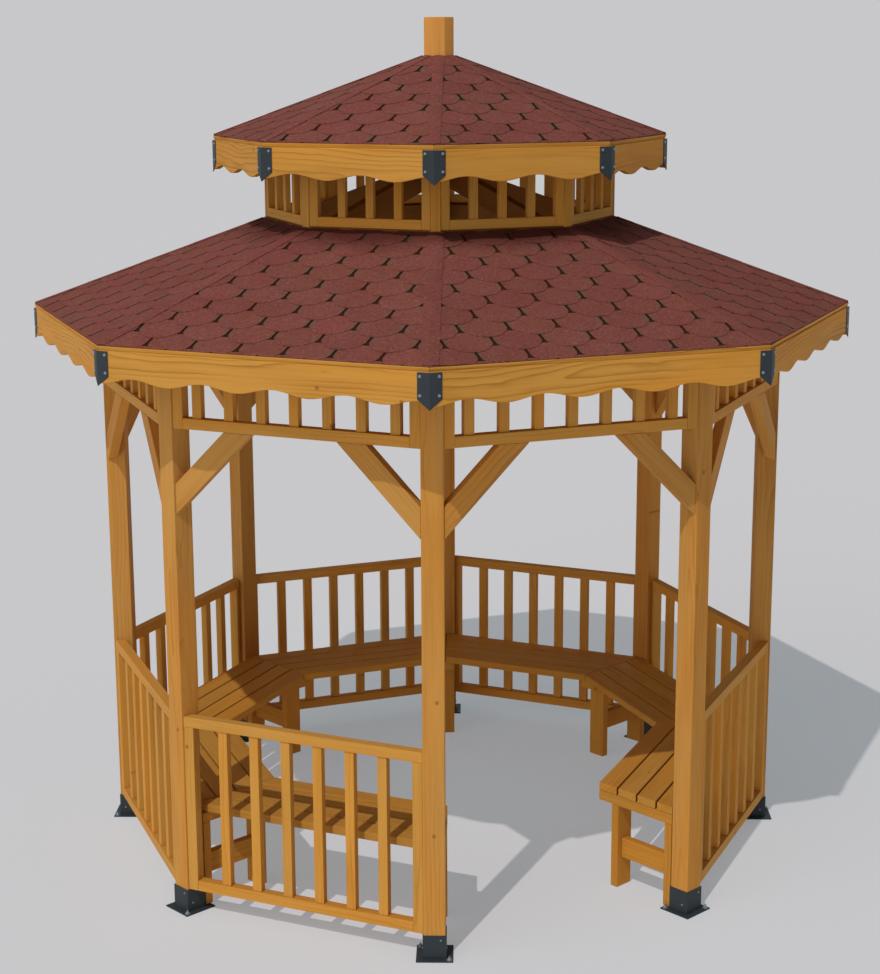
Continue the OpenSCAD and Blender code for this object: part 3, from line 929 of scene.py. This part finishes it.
levels = (("lower", eave_a, eave_z - FIT), ("upper", upper_a, upper_eave_z - FIT))
for level, a_out, top in levels:
    hand_over_ring(wave_board(a_out, top), f"{level}_wave_boards", "fascia_wood", fascia_pine,
                   f"{level}_fascia")

# %% [markdown]
# ## Bitumen shingles
# The roof covering is bitumen strip with hexagonal tabs. A tab is 200 mm wide,
# and each course shows 105 mm and is shifted by half a tab. Between two tabs is
# a narrow slit, which reads as a dark dash. The tabs could be painted on a flat
# face, but real tabs catch light on their butt edges, so one tab is modelled
# and laid course by course, each resting on the course below.

# %% Model one tab
TAB_PITCH, EXPOSURE = 0.200, 0.105
TAB_T, SLIT_W, CHAMFER_U, CHAMFER_S = 0.0026, 0.013, 0.052, 0.054
HEAD_TRIM, BUTT_LIFT = 0.011, 1.2
TOE_ROUND, TOE_SLOPE, SHOULDER_ROUND, SHOULDER_SLOPE = 0.020, 0.40, 0.012, 0.35
slit_h = EXPOSURE - CHAMFER_S
tab_lap = CHAMFER_S - HEAD_TRIM
tab_lift = TAB_T * BUTT_LIFT


def note_tab(piece, places):
    """Notes where each vertex lies on its tab; a copy gets its own tone."""
    note(piece, "tab", places)
    note(piece, "tree", np.zeros(len(piece.data.vertices)))


def shingle_tab():
    """A tab flat at the origin: across is x, up the slope is y."""
    half = (TAB_PITCH - SLIT_W) / 2
    low, high = -CHAMFER_S, slit_h + tab_lap
    piece = block((-half, low, 0), (half, high, TAB_T))
    toe = half - CHAMFER_U
    corner_cuts = (
        ((toe, low), (CHAMFER_S, -CHAMFER_U)),
        ((toe - TOE_ROUND, low), (TOE_SLOPE * CHAMFER_S, -CHAMFER_U)),
        ((half, SHOULDER_ROUND), (CHAMFER_S, -SHOULDER_SLOPE * CHAMFER_U)),
    )
    cut(piece, [((side * x, y, 0), (side * nx, ny, 0))
                for (x, y), (nx, ny) in corner_cuts for side in (-1, 1)])
    note_tab(piece, points(piece))
    return piece


tab = shingle_tab()
print("one tab has", len(tab.data.polygons), "faces")

# %% [markdown]
# ## Laying the courses
# Each tab is tipped so that its butt rests on the course below and its head on
# the felt. The laid face is then sawn at the hips, the eave and the top, as a
# roofer trims it with a knife.

# %% Lay the tabs on both roofs
SHINGLE_SETBACK, FIRST_COURSE, HIP_TRIM = 0.003, 0.025, 0.001
FELT_T, FELT_SPARE = 0.001, 0.01


def slope_matrix(a, edge, up=0.0):
    """Takes flat tab coordinates to the roof face at distance a."""
    place = Vector((0, -a, roof_z(a, edge) + deck_up + FIT))
    return Matrix.Translation(place + slope_normal * up) @ Matrix.Rotation(PITCH, 4, "X")


def shingled_face(a_in, a_out, edge):
    """All the tabs of one roof face, trimmed to its outline."""
    slope_length = (a_out - a_in) / math.cos(PITCH)
    tabs = []
    tip = Matrix.Rotation(-math.atan2(tab_lift, EXPOSURE + tab_lap), 4, "X")
    head = Matrix.Translation((0, slit_h + tab_lap, 0))
    for course in range(-1, math.ceil((slope_length + CHAMFER_S) / EXPOSURE)):
        s = FIRST_COURSE + course * EXPOSURE
        half_here = (a_out - (s - CHAMFER_S) * math.cos(PITCH)) * TAN + TAB_PITCH / 2
        shift = 0.5 * (course % 2)
        count = math.ceil(half_here / TAB_PITCH)
        for k in range(-count, count + 1):
            u = (k + shift) * TAB_PITCH
            if abs(u) > half_here:
                continue
            flat = Matrix.Translation((u, s, 0)) @ head @ tip @ head.inverted()
            tabs.append(copy_at(tab, slope_matrix(a_out, edge, FELT_T) @ flat, "laid"))
    face = gather(tabs, "face")
    cut(face, mitres(HIP_TRIM) + [((0, -a_out, 0), (0, -1, 0)), ((0, -a_in, 0), (0, 1, 0))])
    return face


def felt_face(a_in, a_out, edge):
    """A thin dark felt on the boards, which shows at the bottom of the slits."""
    length = (a_out - a_in) / math.cos(PITCH)
    middle = slope_matrix(a_out, edge) @ Vector((0, length / 2, FELT_T / 2))
    half = Vector((a_out * TAN + FELT_SPARE, length / 2, FELT_T / 2))
    return board(middle - half, middle + half, mitres(FIT / COS), turn=(PITCH, 0, 0), arris=0)


covered = {}
for level, a_in, edge in roofs:
    a_out = edge[0] - SHINGLE_SETBACK
    face = shingled_face(a_in, a_out, edge)
    covered[level] = (all_round(face, f"{level}_shingle_tabs"),
                      all_round(felt_face(a_in, a_out, edge), f"{level}_felt"))
    print(level, "roof:", len(covered[level][0].data.polygons), "faces of tabs")
bpy.data.objects.remove(tab)

# %% [markdown]
# ## Hip caps
# Along each hip a folded strip covers the sawn tabs. Strips overlap like the
# tabs do. One strip is folded in edit mode and given its thickness, and then
# copied down the hip.

# %% Fold and lay the hip caps
CAP_LENGTH, CAP_STEP, CAP_T, CAP_LIP, CAP_BED = 0.30, 0.26, 0.002, 0.0008, 0.0075
LOWER_CAP, UPPER_CAP, CURB_CLEAR, KING_CLEAR = 0.034, 0.024, 0.004, 0.003
# The caps' own tab coordinates keep them clear of the slit band and of the painted butt shade.
CAP_ON_TAB, CAP_TONE = (0.4, 0.1, 0.0), (0, 0.02, 0)  # clear of the slit and butt tones


def folded_sheet(size, middle, turn=(0, 0, 0)):
    """A thin sheet that is divided down the middle, ready to be folded."""
    piece = primitive(bpy.ops.mesh.primitive_plane_add, stretch=(*size, 1),
                      size=1, location=middle, rotation=turn)
    saw(piece, [((0, 0, 0), (1, 0, 0))])
    return piece


def hip_cap(half):
    """A folded strip at the origin; its length is y and the fold is on top."""
    piece = folded_sheet((2 * half, CAP_LENGTH), (0, CAP_LENGTH / 2, 0))
    pick(piece, "vertices", lambda v: abs(v.co.x) > half / 2)
    bpy.ops.transform.translate(value=(0, 0, -RISE * SIN * half))
    pick(piece, "vertices", lambda v: abs(v.co.x) < half / 2)
    bpy.ops.mesh.bevel(offset=half / 2, segments=3, affect="EDGES")
    apply_step(piece, "SOLIDIFY", thickness=CAP_T, offset=1)
    note_tab(piece, points(piece) * CAP_ON_TAB - CAP_TONE)
    return piece


for level, half, r_in, edge in (
    ("lower", LOWER_CAP, (curb_out + CURB_CLEAR) / COS, lower_edge),
    ("upper", UPPER_CAP, KING_W / 2 / COS + KING_CLEAR, upper_edge),
):
    cap, caps = hip_cap(half), []
    r_out = (edge[0] - SHINGLE_SETBACK) / COS
    count = math.ceil((r_out - r_in) / math.cos(hip_slope) / CAP_STEP)
    tip = Matrix.Rotation(hip_slope - math.atan2(CAP_LIP, CAP_STEP), 4, "X")
    for i in range(count):
        r = r_out - i * CAP_STEP * math.cos(hip_slope)
        z = roof_z(r * COS, edge) + deck_up + CAP_BED
        caps.append(copy_at(cap, Matrix.Translation((0, -r, z)) @ tip, "cap"))
    strip = gather(caps, "strip")
    eave_cuts = [((0, -r_out, 0), (side * SIN, -COS, 0)) for side in (-1, 1)]
    cut(strip, [((0, -r_in, 0), (0, 1, 0))] + eave_cuts)
    covered[level] += (all_round(strip, f"{level}_hip_caps", turned_to_post),)
    print(level, "hips:", count, "caps each")
    bpy.data.objects.remove(cap)

# %% [markdown]
# ## Mineral granules
# The tabs are coated with crushed stone in red-brown with a few lighter and
# darker grains. Beside the slits the stone turns a dark grey-green in patches,
# and the tab's own coordinates, kept as an attribute, say where. Each tab is
# painted darker towards its butt, as painted shade, and the stone is painted
# darker near the lantern's foot, as painted shade under the upper roof.

# %% The shingle's material
STONES = [(0.30, colour(0.140, 0.040, 0.032)), (0.46, colour(0.210, 0.064, 0.050)),
          (0.59, colour(0.258, 0.081, 0.063)), (0.72, colour(0.380, 0.170, 0.140))]
SLIT_BAND_STONE, SLIT_WALL = colour(0.145, 0.098, 0.068), colour(0.060, 0.022, 0.015)
PAINTED_SHADE_TONE = (0.36, 0.30, 0.29, 1.0)
PAINTED_SHADE_RADIUS, PAINTED_SHADE_HEIGHT = (0.78, 0.95), (2.95, 3.05)


def granules(name):
    material, shader, here = new_material(name, gleam=0.05)
    tree = here.recall("tree", NUMBER)
    sideways, up, _ = here.recall("tab", VECTOR).axes()
    across = sideways.function("ABSOLUTE")
    fine, coarse = here.noise(330.0, 2.0, 0.7), here.noise(95.0, 2.0, 0.6)
    patch, drift = here.noise(9.0, 2.0), here.noise(2.2, 1.0)
    ragged = across + (coarse - 0.5) * 0.020
    beside_slit = ragged.fade(0.074, 0.090) * up.fade(-0.026, -0.004)
    butt_painted_shade = 1.0 - up.fade(-0.054, -0.038)
    slit_wall = across.fade(0.0928, 0.0934)
    stone = here.node("ValToRGB", {"stops": STONES}, {0: coarse * 0.55 + fine * 0.45})
    stone = patch.fade(0.35, 0.65).blend(stone, stone * (0.93, 1.00, 1.02, 1.0))
    stone = stone * (0.73 + patch * 0.34 + tree * 0.12 + drift * 0.12)
    # Painted shade: each tab is darkened towards its butt edge.
    stone = (butt_painted_shade * 0.45).blend(stone, stone * 0.6)
    tone = (tree * 5.0).function("FRACT")
    stone = tone.blend(stone * (1.02, 0.98, 1.00, 1.0), stone * (0.98, 1.02, 0.98, 1.0))
    # A dark grey-green band beside each slit, in patches.
    stone = (beside_slit * patch.fade(0.36, 0.56) * 0.8).blend(stone, SLIT_BAND_STONE)
    stone = (slit_wall * 0.9).blend(stone, SLIT_WALL)
    east, north, height = here.axes()
    # Painted shade: the stone is darkened near the lantern's foot, where the upper roof shades it.
    radius = (east * east + north * north).function("SQRT") + (patch - 0.5) * 0.06
    lantern_painted_shade = (1.0 - radius.fade(*PAINTED_SHADE_RADIUS)) * (1.0 - height.fade(*PAINTED_SHADE_HEIGHT))
    stone = (lantern_painted_shade * 0.90).blend(stone, stone * PAINTED_SHADE_TONE)
    connect(
        shader,
        Base_Color=stone,
        Roughness=0.80 + fine * 0.15,
        Normal=bump(fine * 0.5 + coarse * 0.5, 0.0012, 0.6),
    )
    return material


def tarred_felt(name):
    """The dark bitumen of the layer below."""
    material, shader, here = new_material(name, gleam=0.05)
    grit = here.noise(300.0, 2.0)
    tar = grit.blend(colour(0.030, 0.009, 0.004), colour(0.070, 0.026, 0.012))
    connect(shader, Base_Color=tar, Roughness=0.75 + grit * 0.2, Normal=bump(grit, 0.0008, 0.5))
    return material


red_granules, bitumen = granules("red granules"), tarred_felt("tarred felt")
for level, layers in covered.items():
    for layer, coating in zip(layers, (red_granules, bitumen, red_granules)):
        hand_over(layer, "shingles", coating, f"{level}_roof_shingles")

# %% [markdown]
# ## The lantern
# Eight small posts and eight small panels stand on the curb and let light and
# warm air out. They are made just like the posts and panels below, from
# thinner stock.

# %% Make the lantern
LANTERN_BARS, LANTERN_BAR_W, LANTERN_BAR_T = 3, 0.036, 0.024
PANEL_LIFT, PACKING_SETBACK, PACKING_ARRIS = 0.006, 0.004, 0.001
half_opening = half_between(lantern_out, LANTERN_POST_W) - LANTERN_FRAME_W / 2
lantern_pitch = 2 * half_opening / (LANTERN_BARS + 1)
small_post = at_post_board(LANTERN_POST_W, lantern_corner_r - LANTERN_POST_W, lantern_corner_r,
                           lantern_low, lantern_top)
hand_over_ring(small_post, "lantern_corner_posts", "post_wood", panel_pine, "lantern_posts",
               place=turned_to_post)
packing_a = lantern_out - PACKING_SETBACK
packing_half = half_between(packing_a, LANTERN_POST_W) - FIT
packing = board(
    (-packing_half, -packing_a, curb_top), (packing_half, -lantern_in, lantern_low + PANEL_LIFT),
    [end_plane(lantern_in, packing_a, LANTERN_POST_W, side) for side in (-1, 1)],
    arris=PACKING_ARRIS,
)
# The packing strips take the darker pine too, as painted shade below the lantern's panels.
hand_over_ring(packing, "lantern_packing_strips", "panel_wood", shade_darkened_pine, "lantern_panels")
lantern_panel = baluster_panel(
    "bay_of_the_lantern", LANTERN_POST_W, lantern_in, LANTERN_FRAME_T,
    lantern_low + PANEL_LIFT, lantern_top, LANTERN_FRAME_W, LANTERN_BARS,
    lantern_pitch, LANTERN_BAR_W, LANTERN_BAR_T, THIN_ARRIS,
)
hand_over_ring(lantern_panel, "lantern_baluster_panels", "panel_wood", panel_pine,
               "lantern_panels")

# %% [markdown]
# ## The king post
# The upper rafters lean on one eight-sided post. Its top stands above the roof
# and its foot hangs free below the rafters, where its edge is chamfered.

# %% Turn the king post
king_low, king_high = (corner.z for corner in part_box("king_post"))
king = eight_sided(KING_W, king_low, king_high, "eight_sided_king_post")
hand_over(king, "post_wood", king_pine, "king_post")

# %% [markdown]
# ## Powder-coated and zinc-plated steel
# The brackets and shoes are folded sheet with a dark slate powder coat: a
# satin skin with a faint orange-peel texture. The screws, bolts and nuts are
# zinc-plated, brighter and slightly blotchy.

# %% The steel materials


def powder_coat(name):
    material, shader, here = new_material(name, gleam=0.14)
    peel = here.noise(260.0, 2.0)
    cloud = here.noise(14.0, 3.0)
    coat = cloud.blend(colour(0.026, 0.034, 0.040), colour(0.039, 0.050, 0.056))
    dust = here.noise(900.0, 1.0).fade(0.66, 0.74)
    coat = (dust * 0.30).blend(coat, colour(0.09, 0.10, 0.10))
    connect(shader, Base_Color=coat, Roughness=0.46 + cloud * 0.12, Normal=bump(peel, 0.0004, 0.4))
    return material


def zinc_plate(name):
    material, shader, here = new_material(name)
    bloom = here.noise(120.0, 3.0)
    metal = bloom.blend(colour(0.15, 0.19, 0.21), colour(0.23, 0.27, 0.30))
    connect(shader, Base_Color=metal, Roughness=0.40 + bloom * 0.2, Metallic=0.20 + bloom * 0.2,
            Normal=bump(bloom, 0.0002, 0.3))
    return material


slate_coat, zinc = powder_coat("slate powder coat"), zinc_plate("zinc plating")

# %% [markdown]
# ## Corner brackets
# A bracket wraps each corner of the fascia. It is one sheet: a rectangle with
# its lower edge pointed, folded down the middle. In edit mode the flat sheet
# is divided, its outer corners are moved back for the fold and up for the
# point, and Solidify gives it its 3 mm.

# %% Fold the brackets
LEAF_W, SHEET_T, LEAF_SIDE_H, LEAF_TIP_H = 0.050, 0.003, 0.100, 0.140
FOLD_R, SHEET_ARRIS = 0.002, 0.0007


def bracket(a_face, top):
    """A bracket on the first corner, its fold at the fascia's mitre."""
    fold_r = (a_face + FIT + SHEET_T) / COS
    piece = folded_sheet((2 * LEAF_W, LEAF_TIP_H), (0, -fold_r, top - LEAF_TIP_H / 2),
                         (math.pi / 2, 0, 0))
    for side in (-1, 1):
        pick(piece, "vertices", lambda v: v.co.x * side > LEAF_W / 2)
        bpy.ops.transform.translate(value=(-side * LEAF_W * (1 - COS), LEAF_W * SIN, 0))
    pick(piece, "vertices",
         lambda v: abs(v.co.x) > LEAF_W / 2 and v.co.z < top - LEAF_TIP_H / 2)
    bpy.ops.transform.translate(value=(0, 0, LEAF_TIP_H - LEAF_SIDE_H))
    pick(piece, "vertices", lambda v: abs(v.co.x) < LEAF_W / 2)
    bpy.ops.mesh.bevel(offset=FOLD_R, segments=2, affect="EDGES")
    apply_step(piece, "SOLIDIFY", thickness=SHEET_T, offset=-1)
    soften(piece, SHEET_ARRIS, 1, 50)
    return piece


brackets = gather([
    all_round(bracket(a, top), f"{level}_brackets", turned_to_post) for level, a, top in levels
], "folded_corner_brackets")
hand_over(brackets, "dark_steel", slate_coat, "corner_brackets")

# %% [markdown]
# ## Bolt heads
# Each leaf is held by two domed bolts. A dome is a short cylinder whose outer
# rim is bevelled over almost its full height.

# %% Make the bracket bolts
BOLT_D, BOLT_H, BOLT_OUT, BOLT_ROWS = 0.013, 0.005, 0.038, (0.015, 0.086)
DOMED = 0.75


def dome(diameter, height, sides=16):
    """A domed head at the origin that points along +Z."""
    piece = cylinder(sides, diameter, height, (0, 0, height / 2))
    pick(piece, "polygons", lambda face: face.normal.z > FACING)
    bpy.ops.mesh.bevel(offset=height * DOMED, segments=3, affect="EDGES")
    mode("OBJECT")
    bpy.ops.object.shade_smooth_by_angle(angle=math.radians(50))
    return piece


outward = Matrix.Rotation(math.pi / 2, 4, "X")
bolt = dome(BOLT_D, BOLT_H)
heads = []
for level, a, top in levels:
    face_a = a + FIT + SHEET_T
    for side in (-1, 1):
        for row in BOLT_ROWS:
            spot = (side * (face_a * TAN - BOLT_OUT), -face_a, top - row)
            heads.append(copy_at(bolt, Matrix.Translation(spot) @ outward, "head"))
bpy.data.objects.remove(bolt)
hand_over_ring(gather(heads, "heads"), "bracket_bolt_heads", "bolt_steel", zinc, "bracket_bolts")

# %% [markdown]
# ## Post shoes
# Each post stands in a square sleeve that is welded to a base plate. Two
# anchor bolts hold the plate at opposite corners. The sleeve is a block whose
# top is inset and pushed down, which leaves an even wall.

# %% Make the shoes
PLATE_T, SHOE_H, FLANGE = 0.005, 0.104, 0.027
ANCHOR_D, ANCHOR_INSET, SLEEVE_FLOOR = 0.012, 0.015, 0.0001
PLATE_ARRIS, SLEEVE_ARRIS, HOLE_SIDES = 0.0008, 0.0012, 24
sleeve_w = POST_W + 2 * FIT + 2 * SHOE_WALL
plate_w = sleeve_w + 2 * FLANGE
anchor_out = plate_w / 2 - ANCHOR_INSET

plate = block(*square(plate_w, 0, PLATE_T))
anchor_spots = [(s * anchor_out, -POST_CIRCLE - s * anchor_out, 0) for s in (-1, 1)]
for spot in anchor_spots:
    carve(plate, cylinder(HOLE_SIDES, ANCHOR_D, 4 * PLATE_T, spot))
soften(plate, PLATE_ARRIS, 1, 50)
sleeve = block(*square(sleeve_w, PLATE_T, SHOE_H))
pick(sleeve, "polygons", lambda face: face.normal.z > FACING)
bpy.ops.mesh.inset(thickness=SHOE_WALL)
pocket = (0, 0, PLATE_T - SHOE_H + SLEEVE_FLOOR)
bpy.ops.mesh.extrude_region_move(TRANSFORM_OT_translate={"value": pocket})
soften(sleeve, SLEEVE_ARRIS, 2, 50)
hand_over_ring(gather([plate, sleeve], "shoe"), "post_shoe_plates_and_sleeves", "dark_steel",
               slate_coat, "post_shoes", place=turned_to_post)
print(f"plates {plate_w * 1000:.0f} mm square")

# %% [markdown]
# ## Screws and anchor bolts
# A small domed screw sits off-centre on three faces of the sleeve; the bench's
# rear leg covers the fourth. On the plate, each anchor bolt shows a washer, a
# nut and the end of its thread.

# %% Make the shoe's fixings
SCREW_D, SCREW_H = 0.009, 0.003
WASHER_D, WASHER_T, NUT_D, NUT_H, STUD_H = 0.024, 0.002, 0.019, 0.008, 0.013
THREAD_SLACK = 0.001
SCREW_SPOTS = ((0, 0.026, 0.084), (1, -0.022, 0.040), (3, 0.022, 0.040))  # face, x, height
screw = dome(SCREW_D, SCREW_H, 12)
face_y = sleeve_w / 2 + FIT
fixings = []
at_post = Matrix.Translation((0, -POST_CIRCLE, 0))
for face, x, height in SCREW_SPOTS:
    turn = Matrix.Rotation(math.pi / 2 * face, 4, "Z")
    place = Matrix.Translation((x, -face_y, height)) @ outward
    fixings.append(copy_at(screw, at_post @ turn @ place, "screw"))
washer, nut = dome(WASHER_D, WASHER_T, 20), dome(NUT_D, NUT_H, 6)
stud = dome(ANCHOR_D - THREAD_SLACK, STUD_H, 12)
for spot in anchor_spots:
    for fixing, lift in ((washer, 0), (nut, WASHER_T), (stud, WASHER_T)):
        foot = Vector(spot) + Vector((0, 0, PLATE_T + FIT + lift))
        fixings.append(copy_at(fixing, Matrix.Translation(foot), "fixing"))
for used in (screw, washer, nut, stud):
    bpy.data.objects.remove(used)
hand_over_ring(gather(fixings, "fixings"), "shoe_screws_and_anchors", "bolt_steel", zinc,
               place=turned_to_post)

# %% [markdown]
# ## The floor
# The floor is plain and pale, and keeps the gazebo's shadow. The timber throws
# a warm light on it from nearby, so the paint is a touch cooler there and the
# ground reads as one even grey.

# %% Lay the floor
PALE, FLOOR_SIZE, FLOOR_DROP = (0.578, 0.578, 0.591), 400, 0.0005
FLOOR_SHARE, FLOOR_LIGHT, FLOOR_LIFT = (0.955, 0.890, 0.860), 0.6768, 0.28
COOL, COOL_FROM, COOL_TO, BOUNCE = (-0.011, 0.006, 0.016), 1.5, 4.5, 1.45
floor = primitive(bpy.ops.mesh.primitive_plane_add, size=FLOOR_SIZE, location=(0, 0, -FLOOR_DROP))
floor.name = "floor"
floor_paint = bpy.data.materials.new("pale floor")


def empty_web(owner):
    """The owner's nodes, emptied, and a wire for each ray that sees it."""
    owner.use_nodes = True
    web = owner.node_tree
    web.nodes.clear()
    rays = web.nodes.new("ShaderNodeLightPath").outputs
    return web, [Wire(web, rays[f"Is {ray} Ray"]) for ray in ("Camera", "Glossy", "Transmission")]


def close_web(web, kind, finish):
    end = web.nodes.new("ShaderNodeOutput" + kind)
    web.links.new(finish.socket, end.inputs[0])


def lamp_node(start, kind, shade, strength):
    return start.node(kind, {}, {"Color": shade, "Strength": strength})


web, (start, _, _) = empty_web(floor_paint)
share = [c * k for c, k in zip(PALE, FLOOR_SHARE)]
rest = [c * (1 - k * FLOOR_LIGHT) for c, k in zip(PALE, FLOOR_SHARE)]
cooler = [c + k for c, k in zip(rest, COOL)]
spot = start.node("TexCoord", {}, out=3)
reach = start.node("VectorMath", {"operation": "LENGTH"}, {0: spot}, 1)
tint = reach.fade(COOL_FROM, COOL_TO).blend(colour(*cooler), colour(*rest))
seen = start.node("BsdfDiffuse", {}, {"Color": colour(*share)})
both = start.node("AddShader", {}, {0: seen, 1: lamp_node(start, "Emission", tint, 1.0)})
bounce = start.node("BsdfDiffuse", {}, {"Color": colour(*[c * BOUNCE for c in PALE])})
lift = lamp_node(start, "Emission", colour(*PALE), FLOOR_LIFT)
unseen = start.node("AddShader", {}, {0: bounce, 1: lift})
close_web(web, "Material", start.node("MixShader", {}, {0: start, 1: unseen, 2: both}))
floor_paint.cycles.emission_sampling = "NONE"
floor.data.materials.append(floor_paint)
print("floor laid, cooler up to", COOL_TO, "m from the middle")

# %% [markdown]
# ## Light
# A small sun gives the clear shadow, a wide one fills from the left, and the
# sky fills the rest. The sky shows the floor's own grey to the camera and to
# polished metal, so the ground has no edge.

# %% Hang the lights


def sun(name, azimuth, elevation, strength, softness):
    """A sun that shines from that compass angle, measured from +X towards +Y."""
    lamp = bpy.data.lights.new(name, "SUN")
    lamp.energy, lamp.angle = strength, math.radians(softness)
    light = bpy.data.objects.new(name, lamp)
    bpy.context.scene.collection.objects.link(light)
    a, e = math.radians(azimuth), math.radians(elevation)
    towards = Vector((math.cos(e) * math.cos(a), math.cos(e) * math.sin(a), math.sin(e)))
    light.rotation_euler = towards.to_track_quat("Z", "Y").to_euler()


sun("clear sun", azimuth=225, elevation=54.2, strength=1.55, softness=0.6)
sun("left fill", azimuth=200, elevation=12, strength=0.95, softness=70)
SKY = 0.20
world = bpy.data.worlds.new("sky")
bpy.context.scene.world = world
sky_web, (camera_ray, glossy_ray, through_ray) = empty_web(world)
shown = (camera_ray + glossy_ray + through_ray).function("MINIMUM", 1.0)
fill = lamp_node(shown, "Background", colour(1, 1, 1), SKY)
backdrop = lamp_node(shown, "Background", colour(*PALE), 1.0)
close_web(sky_web, "World", shown.node("MixShader", {}, {0: shown, 1: fill, 2: backdrop}))
print("lamps hung:", [light.name for light in bpy.data.lights])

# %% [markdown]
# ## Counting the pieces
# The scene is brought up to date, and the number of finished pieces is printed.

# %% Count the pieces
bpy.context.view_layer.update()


print("pieces", len(handed_over))
